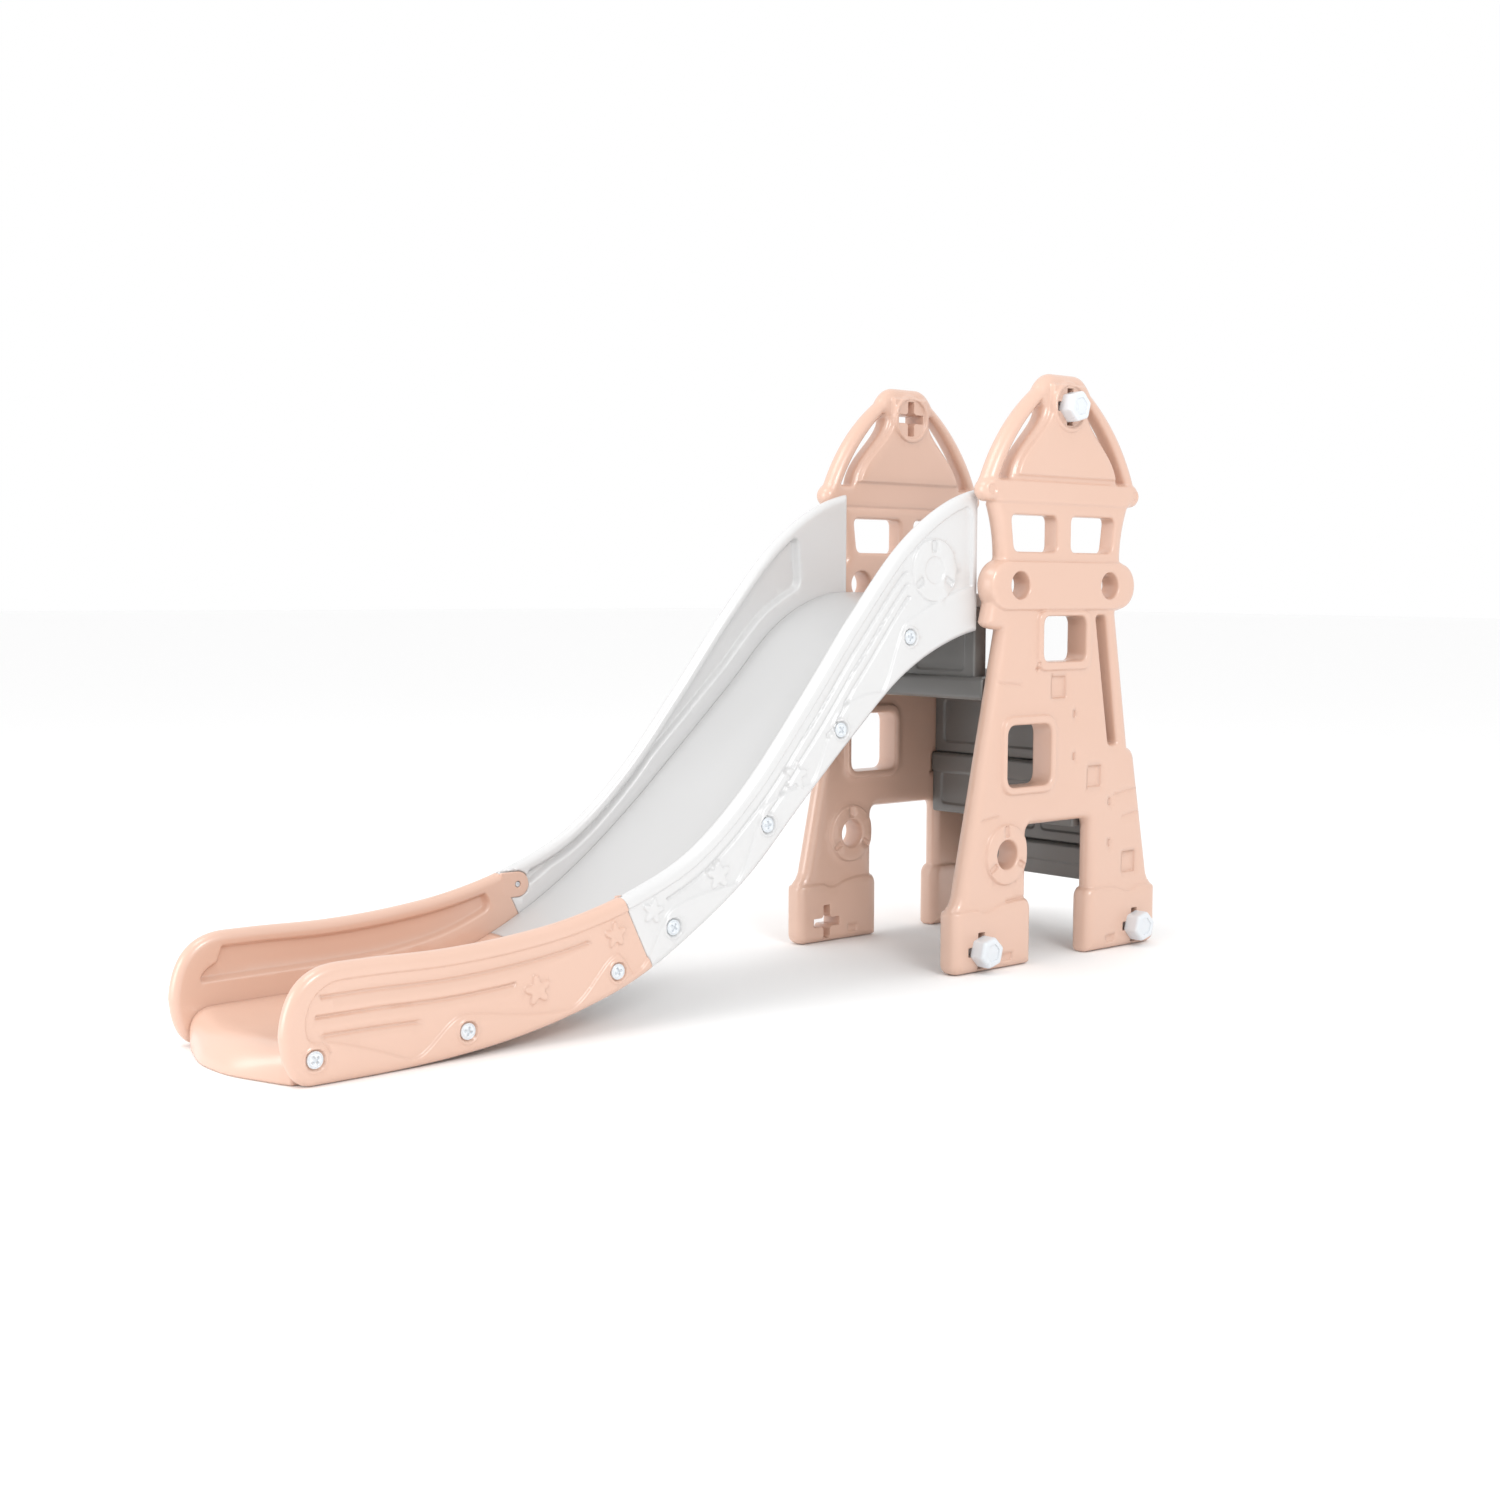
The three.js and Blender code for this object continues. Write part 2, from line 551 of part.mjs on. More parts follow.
/** A cross-recess screw along +Z: its head's underside at z = 0, its shank below. */
function screwGeometry(head, headHeight, shank, length, recess, sides) {
  const profile = [[0, -length], [shank, -length], [shank, 0], [head, 0], [head, headHeight * 0.55],
    [head * 0.86, headHeight * 0.9], [0, headHeight]].map(([r, z]) => new THREE.Vector2(r, z));
  const turned = new THREE.LatheGeometry(profile, sides);
  turned.rotateX(Math.PI / 2);
  const arm = head * 0.5;
  const slot = head * 0.14;
  const low = headHeight - recess;
  const cross = block(-arm, -slot, low, arm, slot, headHeight + 2)
    .add(block(-slot, -arm, low, slot, arm, headHeight + 2));
  return geometryOf(solid(turned).subtract(cross));
}

/** A hexagonal knob along +Z: its collar's underside at z = 0 rests on the panel; the bayonet is below. */
function knobGeometry() {
  const k = knob;
  const hexRadius = k.acrossFlats / Math.sqrt(3);
  const hexagon = (radius, low, high) => {
    const geometry = new THREE.CylinderGeometry(radius, radius, high - low, 6);
    geometry.rotateX(Math.PI / 2);
    geometry.rotateZ(Math.PI / 6);
    geometry.translate(0, 0, (low + high) / 2);
    return solid(geometry);
  };
  const rod = (radius, low, high, topRadius = radius) => {
    const geometry = new THREE.CylinderGeometry(topRadius, radius, high - low, 20);
    geometry.rotateX(Math.PI / 2);
    geometry.translate(0, 0, (low + high) / 2);
    return solid(geometry);
  };
  const top = k.collarHeight + k.height;
  const dome = rod(hexRadius + 14, 0, top, hexRadius - k.chamfer);
  const head = hexagon(hexRadius, k.collarHeight, top).intersect(dome);
  const lugTop = -tower.wall - 2 * gap;
  const lugs = block(-k.lug, -k.lugWidth / 2, lugTop - k.lugHeight, k.lug, k.lugWidth / 2, lugTop);
  const crossLugs = block(-k.lugWidth / 2, -k.lug, lugTop - k.lugHeight, k.lugWidth / 2, k.lug, lugTop);
  return geometryOf(head.add(rod(k.collar, 0, k.collarHeight + 1))
    .add(rod(k.shank, lugTop - k.lugHeight, 1)).add(lugs).add(crossLugs));
}

// ---------------------------------------------------------------- assembly

const object = new THREE.Group();

/** Adds one named piece to a group. */
function add(group, name, geometry, material, position = [0, 0, 0], rotation = [0, 0, 0]) {
  const mesh = new THREE.Mesh(geometry, material);
  mesh.name = name;
  mesh.position.set(...position);
  mesh.rotation.set(...rotation);
  group.add(mesh);
}

const sides = [{ name: 'near', sign: -1 }, { name: 'far', sign: 1 }];

const towers = new THREE.Group();
for (const { name, sign } of sides) {
  const place = [0, sign * (innerFace + tower.wall / 2), 0];
  add(towers, `${name}_tower_panel`, towerGeometry(sign), pink, place);
}

const stair = new THREE.Group();
add(stair, 'deck', deckGeometry(), grey);
add(stair, 'middle_step', stepGeometry(1), grey);
add(stair, 'lower_step', stepGeometry(2), grey);
add(stair, 'upper_riser', riserGeometry(1), grey);
add(stair, 'lower_riser', riserGeometry(2), grey);

const chute = new THREE.Group();
add(chute, 'upper_bed', upperBedGeometry(), white);
add(chute, 'lower_bed', lowerBedGeometry(), pink);
const screwLength = rail.wall - chuteScrew.sink + chuteScrew.bite;
const screwShape = screwGeometry(chuteScrew.head, chuteScrew.headHeight, chuteScrew.shank, screwLength,
  chuteScrew.recess, 20);
const smallScrewShape = screwGeometry(jointScrew.head, jointScrew.headHeight, jointScrew.shank,
  jointScrew.bite - 3, jointScrew.headHeight * 0.5, 10);
const tab = tabCentre();
for (const { name, sign } of sides) {
  add(chute, `upper_${name}_rail`, railGeometry(sign, false), white);
  add(chute, `lower_${name}_rail`, railGeometry(sign, true), pink);
  const facing = [sign * -Math.PI / 2, 0, 0];
  chuteScrewPlaces().forEach(({ x, z }, i) => {
    const y = sign * (railOuter - chuteScrew.sink);
    add(chute, `${name}_rail_screw_${i + 1}`, screwShape, cap, [x, y, z], facing);
  });
  const seat = sign * (railInner + jointScrew.headHeight + 1 - gap);
  add(chute, `${name}_joint_screw`, smallScrewShape, cap, [tab.x, seat, tab.z], [sign * Math.PI / 2, 0, 0]);
}

const knobs = new THREE.Group();
const knobShape = knobGeometry();
const knobPlaces = { crown_knob: [0, crossHole.crownZ], front_foot_knob: [-crossHole.x, crossHole.footZ],
  rear_foot_knob: [crossHole.x, crossHole.footZ] };
for (const [name, [x, z]] of Object.entries(knobPlaces)) {
  // turned 45 degrees to its hole: locked
  const turn = new THREE.Group();
  turn.position.set(x, -outerFace - gap, z);
  turn.rotation.set(Math.PI / 2, 0, 0);
  add(turn, name, knobShape, cap, [0, 0, 0], [0, 0, Math.PI / 4]);
  knobs.add(turn);
}

object.add(towers, stair, chute, knobs);
object.position.set(-middle.x, -middle.y, 0);

export default object;
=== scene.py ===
"""Toddler slide: castle-gable tower panels, three grey steps and an S-shaped chute, for Blender 4.5.

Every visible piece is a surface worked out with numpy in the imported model's frame. Sizes are in
millimetres in the tower's own axes (x along the chute, from the middle of the towers; z up) and turn into
metres when a mesh is made.
"""
import json
import logging
import math
from dataclasses import dataclass, field
from enum import Enum
from typing import Sequence

import bpy
import numpy as np
from mathutils import Matrix, Vector
from mathutils.geometry import delaunay_2d_cdt


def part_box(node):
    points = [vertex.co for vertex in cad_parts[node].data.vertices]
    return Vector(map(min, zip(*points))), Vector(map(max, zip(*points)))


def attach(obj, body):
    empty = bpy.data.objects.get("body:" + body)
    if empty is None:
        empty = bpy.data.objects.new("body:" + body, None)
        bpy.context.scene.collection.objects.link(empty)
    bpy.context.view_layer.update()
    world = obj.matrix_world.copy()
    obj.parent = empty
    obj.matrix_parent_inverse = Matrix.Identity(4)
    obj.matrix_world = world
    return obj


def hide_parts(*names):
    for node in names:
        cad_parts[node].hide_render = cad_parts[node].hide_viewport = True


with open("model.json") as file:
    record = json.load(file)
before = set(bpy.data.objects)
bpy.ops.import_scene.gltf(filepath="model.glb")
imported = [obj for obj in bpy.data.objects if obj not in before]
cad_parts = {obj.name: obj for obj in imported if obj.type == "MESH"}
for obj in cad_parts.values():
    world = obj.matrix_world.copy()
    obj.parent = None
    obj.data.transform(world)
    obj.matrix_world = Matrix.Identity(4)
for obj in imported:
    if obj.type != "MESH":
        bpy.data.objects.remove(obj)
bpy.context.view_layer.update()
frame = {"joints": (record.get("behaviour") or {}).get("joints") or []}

LOG = logging.getLogger("toddler_slide")
MM = 0.001
BLOCK = 24  # segments of a line that are measured together
FINE = 1.3  # spacing of the mesh points of relief, in millimetres
RIM_STEPS = (16, 32, 50, 70, 90)  # degrees round a rim's quarter circle where it has rows of points
Array = np.ndarray
Shell = tuple[Array, Array]  # vertices in millimetres, and faces as corner numbers


# ------------------------------------------------------------------------------------------- frame


@dataclass(frozen=True)
class Datum:
    """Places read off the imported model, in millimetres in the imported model's frame."""

    axis_x: float
    near_face: float
    near_inner: float
    far_inner: float

    @property
    def middle_y(self) -> float:
        """The long middle plane of the object."""
        return (self.near_inner + self.far_inner) / 2

    @property
    def clear_half(self) -> float:
        """Half the clear width between the tower panels."""
        return (self.far_inner - self.near_inner) / 2

    @property
    def wall(self) -> float:
        """Thickness of a tower panel."""
        return self.near_inner - self.near_face


def read_datum() -> Datum:
    """Reads the towers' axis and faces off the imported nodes.

    Returns:
        The datum that every sub-assembly is placed from.
    """
    near_low, near_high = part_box("near_tower_panel")
    far_low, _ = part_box("far_tower_panel")
    return Datum(
        axis_x=(near_low[0] + near_high[0]) / 2 / MM,
        near_face=near_low[1] / MM,
        near_inner=near_high[1] / MM,
        far_inner=far_low[1] / MM,
    )


class Body(Enum):
    """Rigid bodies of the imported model."""

    FIXED = "fixed_structure"
    CROWN = "crown_knob"
    FRONT_FOOT = "front_foot_knob"
    REAR_FOOT = "rear_foot_knob"


KNOB_BODIES = (Body.CROWN, Body.FRONT_FOOT, Body.REAR_FOOT)


class Facing(Enum):
    """How a flat piece lies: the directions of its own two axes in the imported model's frame."""

    SIDE = ((1, 0, 0), (0, 0, 1))
    TREAD = ((1, 0, 0), (0, 1, 0))
    EXIT = ((0, -1, 0), (0, 0, 1))


class Hand(Enum):
    """Side of the object: its sign along Y."""

    NEAR = -1
    FAR = 1


# ------------------------------------------------------------------------------------------- shared sizes

DECK_TOP = 540.0
STEP_DROP = 175.0
STEP_PITCH = 108.0
SLAB = 43.0  # thickness of the deck and of each tread
TONGUE_X = -10.0  # middle of the deck's tongues
TONGUE_HALF = 19.0


# ------------------------------------------------------------------------------------------- curves


class Outline:
    """A closed outline drawn with straight, curved and round stretches."""

    def __init__(self, x: float, z: float) -> None:
        """Starts the outline at a point."""
        self._stretches = [np.array([[x, z]], float)]

    def _last(self) -> Array:
        """The point that the outline has reached."""
        return self._stretches[-1][-1]

    def line(self, x: float, z: float) -> "Outline":
        """Goes straight to a point."""
        self._stretches.append(np.array([[x, z]], float))
        return self

    def curve(self, cx: float, cz: float, x: float, z: float) -> "Outline":
        """Goes along a quadratic Bezier: (1-t)^2 start + 2t(1-t) control + t^2 end."""
        t = np.linspace(0, 1, 33)[1:, None]
        start, control, end = self._last(), np.array([cx, cz]), np.array([x, z])
        self._stretches.append((1 - t) ** 2 * start + 2 * t * (1 - t) * control + t**2 * end)
        return self

    def bezier(self, ax: float, az: float, bx: float, bz: float, x: float, z: float) -> "Outline":
        """Goes along a cubic Bezier with two controls."""
        t = np.linspace(0, 1, 49)[1:, None]
        start, end = self._last(), np.array([x, z])
        first, second = np.array([ax, az]), np.array([bx, bz])
        self._stretches.append(
            (1 - t) ** 3 * start + 3 * t * (1 - t) ** 2 * first + 3 * t**2 * (1 - t) * second + t**3 * end
        )
        return self

    def round(self, cx: float, cz: float, radius: float, start: float, end: float) -> "Outline":
        """Goes round a circle's arc between two angles in degrees."""
        a = np.radians(np.linspace(start, end, 41))
        self._stretches.append(np.column_stack([cx + radius * np.cos(a), cz + radius * np.sin(a)]))
        return self

    def through(self, points: Array) -> "Outline":
        """Goes through a row of points."""
        self._stretches.append(np.asarray(points, float))
        return self

    def points(self) -> Array:
        """The points drawn so far, in order."""
        return np.concatenate(self._stretches)

    def loop(self, spacing: float = 3.0) -> Array:
        """The outline as evenly spaced points, anticlockwise.

        Args:
            spacing: Distance between the points.

        Returns:
            An (n, 2) array without its first point repeated.
        """
        return even_loop(self.points(), spacing)


def even_loop(points: Array, spacing: float) -> Array:
    """Spaces a closed outline's points evenly by arc length and turns it anticlockwise."""
    closed = np.vstack([points, points[:1]])
    steps = np.linalg.norm(np.diff(closed, axis=0), axis=1)
    length = np.concatenate([[0], np.cumsum(steps)])
    count = max(int(length[-1] / spacing), 8)
    at = np.linspace(0, length[-1], count, endpoint=False)
    even = np.column_stack([np.interp(at, length, closed[:, 0]), np.interp(at, length, closed[:, 1])])
    following = np.roll(even, -1, 0)
    area = np.sum(even[:, 0] * following[:, 1] - following[:, 0] * even[:, 1])
    return even if area > 0 else even[::-1]


def even_path(points: Array, spacing: float) -> Array:
    """Spaces an open line's points evenly by arc length."""
    points = np.asarray(points, float)
    length = np.concatenate([[0], np.cumsum(np.linalg.norm(np.diff(points, axis=0), axis=1))])
    at = np.linspace(0, length[-1], max(int(length[-1] / spacing), 2) + 1)
    return np.column_stack([np.interp(at, length, points[:, 0]), np.interp(at, length, points[:, 1])])


def rounded_polygon(corners: Sequence[Sequence[float]], radius: float, spacing: float = 3.0) -> Array:
    """A polygon whose corners are quadratic curves that start one radius before each corner."""
    points = np.asarray(corners, float)
    before, after = np.roll(points, 1, 0) - points, np.roll(points, -1, 0) - points
    reach_in = np.minimum(radius, 0.49 * np.linalg.norm(before, axis=1))[:, None]
    reach_out = np.minimum(radius, 0.49 * np.linalg.norm(after, axis=1))[:, None]
    enter = points + before / np.linalg.norm(before, axis=1)[:, None] * reach_in
    leave = points + after / np.linalg.norm(after, axis=1)[:, None] * reach_out
    t = np.linspace(0, 1, 13)[None, :, None]
    curves = (1 - t) ** 2 * enter[:, None] + 2 * t * (1 - t) * points[:, None] + t**2 * leave[:, None]
    return even_loop(curves.reshape(-1, 2), spacing)


def pane(x0: float, z0: float, x1: float, z1: float, radius: float, spacing: float = 3.0) -> Array:
    """A rectangle with rounded corners."""
    return rounded_polygon([[x0, z0], [x1, z0], [x1, z1], [x0, z1]], radius, spacing)


def circle(x: float, z: float, radius: float, spacing: float = 2.5) -> Array:
    """A circle as an outline."""
    a = np.linspace(0, 2 * np.pi, max(int(2 * np.pi * radius / spacing), 20), endpoint=False)
    return np.column_stack([x + radius * np.cos(a), z + radius * np.sin(a)])


def moved_out(loop: Array, distance: float) -> Array:
    """A loop moved out along its own normals; a negative distance moves it in."""
    tangent = np.roll(loop, -1, 0) - np.roll(loop, 1, 0)
    normal = np.column_stack([tangent[:, 1], -tangent[:, 0]])
    return loop + normal / np.linalg.norm(normal, axis=1)[:, None] * distance


def beside(path: Array, distance: float) -> Array:
    """An open line moved sideways along its normals."""
    tangent = np.gradient(path, axis=0)
    normal = np.column_stack([tangent[:, 1], -tangent[:, 0]])
    return path + normal / np.linalg.norm(normal, axis=1)[:, None] * distance


def distance_to(points: Array, path: Array, is_closed: bool, reach: float) -> Array:
    """Distance from each point to a polyline: the least over its segments of the distance to the nearest
    point of the segment. The segments are taken a block at a time, against the points near that block.

    Args:
        points: (n, 2) points.
        path: (m, 2) points of the line.
        is_closed: Whether the last point joins the first.
        reach: Longest distance that matters; further points get this value.

    Returns:
        (n,) distances.
    """
    result = np.full(len(points), reach, float)
    line = np.vstack([path, path[:1]]) if is_closed else path
    for first in range(0, len(line) - 1, BLOCK):
        block = line[first:first + BLOCK + 1]
        low, high = block.min(0) - reach, block.max(0) + reach
        near = np.flatnonzero(np.all((points >= low) & (points <= high), axis=1))
        along = np.diff(block, axis=0)
        offset = points[near, None] - block[:-1]
        share = np.clip(np.sum(offset * along, -1) / (np.sum(along**2, 1) + 1e-12), 0, 1)
        gaps = offset - share[..., None] * along
        if len(near):
            result[near] = np.minimum(result[near], np.sqrt(np.min(np.sum(gaps**2, -1), 1)))
    return result


def is_inside(points: Array, loop: Array) -> Array:
    """Whether each point is inside a loop: an odd number of sides crosses the ray to its right."""
    crossings = np.zeros(len(points), int)
    line = np.vstack([loop, loop[:1]])
    for first in range(0, len(loop), BLOCK):
        block = line[first:first + BLOCK + 1]
        low, high = block.min(0), block.max(0)
        level = (points[:, 1] >= low[1]) & (points[:, 1] <= high[1]) & (points[:, 0] <= high[0])
        near = np.flatnonzero(level)
        x, z = points[near, 0, None], points[near, 1, None]
        here, after = block[:-1], block[1:]
        spans = (here[:, 1] > z) != (after[:, 1] > z)
        rise = after[:, 1] - here[:, 1]
        at = (after[:, 0] - here[:, 0]) * (z - here[:, 1]) / np.where(rise == 0, 1, rise) + here[:, 0]
        crossings[near] += np.sum(spans & (x < at), 1)
    return crossings % 2 == 1


def depth_in(points: Array, loop: Array, reach: float = 30.0) -> Array:
    """Distance from each point to a loop, positive inside it and negative outside."""
    distance = distance_to(points, loop, True, reach)
    return np.where(is_inside(points, loop), distance, -distance)


def smooth(value: Array) -> Array:
    """The S-shaped step 3t^2 - 2t^3 between 0 and 1."""
    t = np.clip(value, 0, 1)
    return t * t * (3 - 2 * t)


# ------------------------------------------------------------------------------------------- relief


@dataclass
class Raised:
    """An area that stands out (or, with a negative height, lies deeper), with a soft edge.

    Its height is height * smooth(1/2 + depth / slope), where depth is the distance inside its loop.
    """

    loop: Array
    height: float
    slope: float = 5.0

    def rows(self) -> list[Array]:
        """Rows of mesh points that follow the soft edge."""
        shares = (-0.55, -0.3, 0.0, 0.3, 0.55)
        return [moved_out(self.loop, share * self.slope) for share in shares]

    def height_at(self, points: Array) -> Array:
        """Height at each point."""
        return self.height * smooth(0.5 + depth_in(points, self.loop, self.slope) / self.slope)


@dataclass
class Groove:
    """A line pressed in (or, with a negative depth, standing out), with a round section.

    Its depth is depth * (1 - smooth(distance / width)), where distance is measured from the line.
    """

    path: Array
    depth: float
    width: float = 3.0

    def rows(self) -> list[Array]:
        """Rows of mesh points along the line."""
        line = even_path(self.path, 3.0)
        return [line] + [beside(line, share * self.width) for share in (-1.05, -0.5, 0.5, 1.05)]

    def height_at(self, points: Array) -> Array:
        """Height at each point."""
        distance = distance_to(points, np.asarray(self.path, float), False, self.width)
        return -self.depth * (1 - smooth(distance / self.width))


Relief = Raised | Groove


@dataclass
class Rim:
    """An edge of a blow-moulded panel that is rounded over towards its face."""

    path: Array
    radius: float
    is_closed: bool = True

    def height_at(self, points: Array, half: float) -> Array:
        """Half thickness at each point: a quarter circle of the rim's radius, then the full half."""
        inward = self.radius - distance_to(points, self.path, self.is_closed, self.radius)
        return half - self.radius + np.sqrt(np.maximum(self.radius**2 - inward**2, 0))


# ------------------------------------------------------------------------------------------- panels


def cells(points: Array, size: float) -> Array:
    """The number of the square cell that each point is in."""
    index = np.floor(points / size).astype(np.int64) + 100_000
    return index[:, 0] * 1_000_000 + index[:, 1]


def thinned(points: Array, size: float) -> Array:
    """The first point of each square cell."""
    _, first = np.unique(cells(points, size), return_index=True)
    return points[np.sort(first)]


@dataclass
class Panel:
    """A moulded panel: an outline with openings, rounded rims, and relief on both faces.

    Both faces share one plane triangulation. A point's half thickness is the least of its rims' quarter
    circles, and the faces' reliefs are added to it.
    """

    outer: Array
    openings: list[Array]
    half: float
    rims: list[Rim]
    front: list[Relief] = field(default_factory=list)
    back: list[Relief] = field(default_factory=list)
    grid: float = 9.0

    def _plane_points(self) -> Array:
        """Mesh points in the plane: rim rows, relief rows, and a wide grid elsewhere."""
        borders = [self.outer, *self.openings]
        rows, reach = [], []
        for rim in self.rims:
            offset = moved_out if rim.is_closed else beside
            for share in 1 - np.cos(np.radians(RIM_STEPS)):
                inset = share * rim.radius
                pair = [offset(rim.path, side * inset) for side in (-1, 1)]
                rows += pair
                reach += [np.full(len(row), inset) for row in pair]
        rim_points, rim_reach = np.concatenate(rows), np.concatenate(reach)
        nearest = self._nearest(rim_points, borders, 40)
        rim_points = rim_points[(nearest > 0.8 * rim_reach) & (nearest > 0.25) & self._holds(rim_points)]
        extra = np.concatenate([np.zeros((0, 2)), *(
            row for relief in (*self.front, *self.back) for row in relief.rows())])
        if len(extra):
            extra = extra[self._holds(extra)]
            extra = thinned(extra[self._nearest(extra, borders, 5) > 1.2], FINE)
            extra = extra[~np.isin(cells(extra, FINE), cells(rim_points, FINE))]
        fine = np.concatenate([rim_points, extra])
        low, high = self.outer.min(0), self.outer.max(0)
        x, z = np.meshgrid(np.arange(low[0], high[0], self.grid), np.arange(low[1], high[1], self.grid))
        wide = np.column_stack([x.ravel(), z.ravel()])
        wide = wide[self._holds(wide)]
        wide = wide[self._nearest(wide, borders, 5) > 4]
        size = self.grid / 2
        taken = np.concatenate([
            cells(fine + np.array([dx, dz]) * size, size) for dx in (-1, 0, 1) for dz in (-1, 0, 1)
        ])
        wide = wide[~np.isin(cells(wide, size), taken)]
        return np.concatenate([fine, wide])

    def _nearest(self, points: Array, borders: list[Array], reach: float) -> Array:
        """Distance to the nearest border, up to reach."""
        return np.min([distance_to(points, border, True, reach) for border in borders], 0)

    def _holds(self, points: Array) -> Array:
        """Whether each point is on the panel's material."""
        held = is_inside(points, self.outer)
        for opening in self.openings:
            held &= ~is_inside(points, opening)
        return held

    def _heights(self, points: Array, reliefs: list[Relief]) -> Array:
        """Height of one face over the panel's middle plane."""
        height = np.min([rim.height_at(points, self.half) for rim in self.rims], 0)
        for relief in reliefs:
            height = height + relief.height_at(points)
        return height

    def surface(self) -> tuple[Array, Array, Array]:
        """Triangulates the panel.

        Returns:
            (n, 2) plane points doubled for the two faces, (n,) heights along the front normal, and (f, 3)
            triangles that face outwards.
        """
        borders = [self.outer, *self.openings]
        inner = self._plane_points()
        edges, start = [], 0
        for border in borders:
            index = np.arange(len(border)) + start
            edges.append(np.column_stack([index, np.roll(index, -1)]))
            start += len(border)
        points = np.concatenate([*borders, inner])
        result = delaunay_2d_cdt(points.tolist(), np.concatenate(edges).tolist(), [], 0, 1e-4, False)
        plane = np.array([tuple(vertex) for vertex in result[0]])
        triangles = np.array(result[2])
        centres = plane[triangles].mean(1)
        triangles = triangles[self._holds(centres)]
        used, triangles = np.unique(triangles, return_inverse=True)
        plane, triangles = plane[used], triangles.reshape(-1, 3)
        count = len(plane)
        sides = np.concatenate([triangles[:, [0, 1]], triangles[:, [1, 2]], triangles[:, [2, 0]]])
        keys = sides[:, 0] * count + sides[:, 1]
        lone = sides[~np.isin(keys, sides[:, 1] * count + sides[:, 0])]
        a, b = lone[:, 0], lone[:, 1]
        walls = [np.column_stack([b, a, a + count]), np.column_stack([b, a + count, b + count])]
        front = self._heights(plane, self.front)
        back = self._heights(plane, self.back)
        faces = np.concatenate([triangles, triangles[:, ::-1] + count, *walls])
        return np.concatenate([plane, plane]), np.concatenate([front, -back]), faces

    def placed(self, facing: Facing, origin: Sequence[float]) -> Shell:
        """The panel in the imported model's frame.

        Args:
            facing: How the panel lies.
            origin: Where its plane origin and middle plane are, in millimetres.

        Returns:
            (n, 3) vertices in millimetres and (f, 3) triangles.
        """
        plane, height, faces = self.surface()
        across, up = (np.array(axis, float) for axis in facing.value)
        normal = np.cross(across, up)
        vertices = plane[:, :1] * across + plane[:, 1:] * up + height[:, None] * normal + np.asarray(origin)
        return vertices, faces


# ------------------------------------------------------------------------------------------- meshes


def make_piece(name: str, vertices: Array, faces: Array, material: bpy.types.Material, slot: str,
               replaced: str, body: Body = Body.FIXED) -> bpy.types.Object:
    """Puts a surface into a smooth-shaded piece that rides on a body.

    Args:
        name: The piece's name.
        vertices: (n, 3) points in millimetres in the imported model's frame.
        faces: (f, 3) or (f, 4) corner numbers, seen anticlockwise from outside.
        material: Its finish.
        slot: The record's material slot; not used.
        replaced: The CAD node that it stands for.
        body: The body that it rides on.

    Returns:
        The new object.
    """
    mesh = bpy.data.meshes.new(name)
    corners = faces.shape[1]
    mesh.vertices.add(len(vertices))
    mesh.vertices.foreach_set("co", (vertices * MM).ravel())
    mesh.loops.add(faces.size)
    mesh.loops.foreach_set("vertex_index", faces.ravel().astype(np.int32))
    mesh.polygons.add(len(faces))
    mesh.polygons.foreach_set("loop_start", np.arange(0, faces.size, corners, dtype=np.int32))
    mesh.update(calc_edges=True)
    mesh.validate()
    mesh.shade_smooth()
    piece = bpy.data.objects.new(name, mesh)
    bpy.context.scene.collection.objects.link(piece)
    mesh.materials.append(material)
    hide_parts(replaced)
    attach(piece, body.value)
    LOG.info("%s: %d faces on %s", name, len(faces), body.value)
    return piece


def joined(*shells: Shell) -> Shell:
    """Several shells as one."""
    starts = np.cumsum([0] + [len(vertices) for vertices, _ in shells])
    faces = [faces + start for (_, faces), start in zip(shells, starts)]
    return np.concatenate([vertices for vertices, _ in shells]), np.concatenate(faces)


def closed_grid(points: Array) -> Shell:
    """Faces of a surface whose rows are closed rings and whose first and last rings close on a pole.

    Args:
        points: (rows, columns, 3) points; the columns go round.

    Returns:
        The vertices with two poles added, and the triangles.
    """
    rows, columns = points.shape[:2]
    index = np.arange(rows * columns).reshape(rows, columns)
    here, after = index, np.roll(index, -1, 1)
    a, b, c, d = here[:-1].ravel(), after[:-1].ravel(), after[1:].ravel(), here[1:].ravel()
    sides = np.concatenate([np.column_stack([a, b, c]), np.column_stack([a, c, d])])
    first, last = rows * columns, rows * columns + 1
    start = np.column_stack([np.full(columns, first), after[0], here[0]])
    end = np.column_stack([np.full(columns, last), here[-1], after[-1]])
    poles = np.stack([points[0].mean(0), points[-1].mean(0)])
    return np.concatenate([points.reshape(-1, 3), poles]), np.concatenate([sides, start, end])


def turned(radii: Array, heights: Array) -> Array:
    """Rings about +Z whose radius is a function of height and angle, from the top down.

    Args:
        radii: (rows, columns) radius of each ring at each angle.
        heights: (rows, 1) or (rows, columns) heights.

    Returns:
        (rows, columns, 3) points.
    """
    angle = np.linspace(0, 2 * np.pi, radii.shape[1], endpoint=False)
    heights = np.broadcast_to(heights, radii.shape)
    return np.stack([radii * np.cos(angle), radii * np.sin(angle), heights], -1)


# ------------------------------------------------------------------------------------------- finishes


def linear(colour: str) -> tuple[float, float, float, float]:
    """Linear colour with full alpha of an sRGB hex value such as f2cfbb."""
    channels = (int(colour[i:i + 2], 16) / 255 for i in (0, 2, 4))
    return (*(c / 12.92 if c <= 0.04045 else ((c + 0.055) / 1.055) ** 2.4 for c in channels), 1.0)


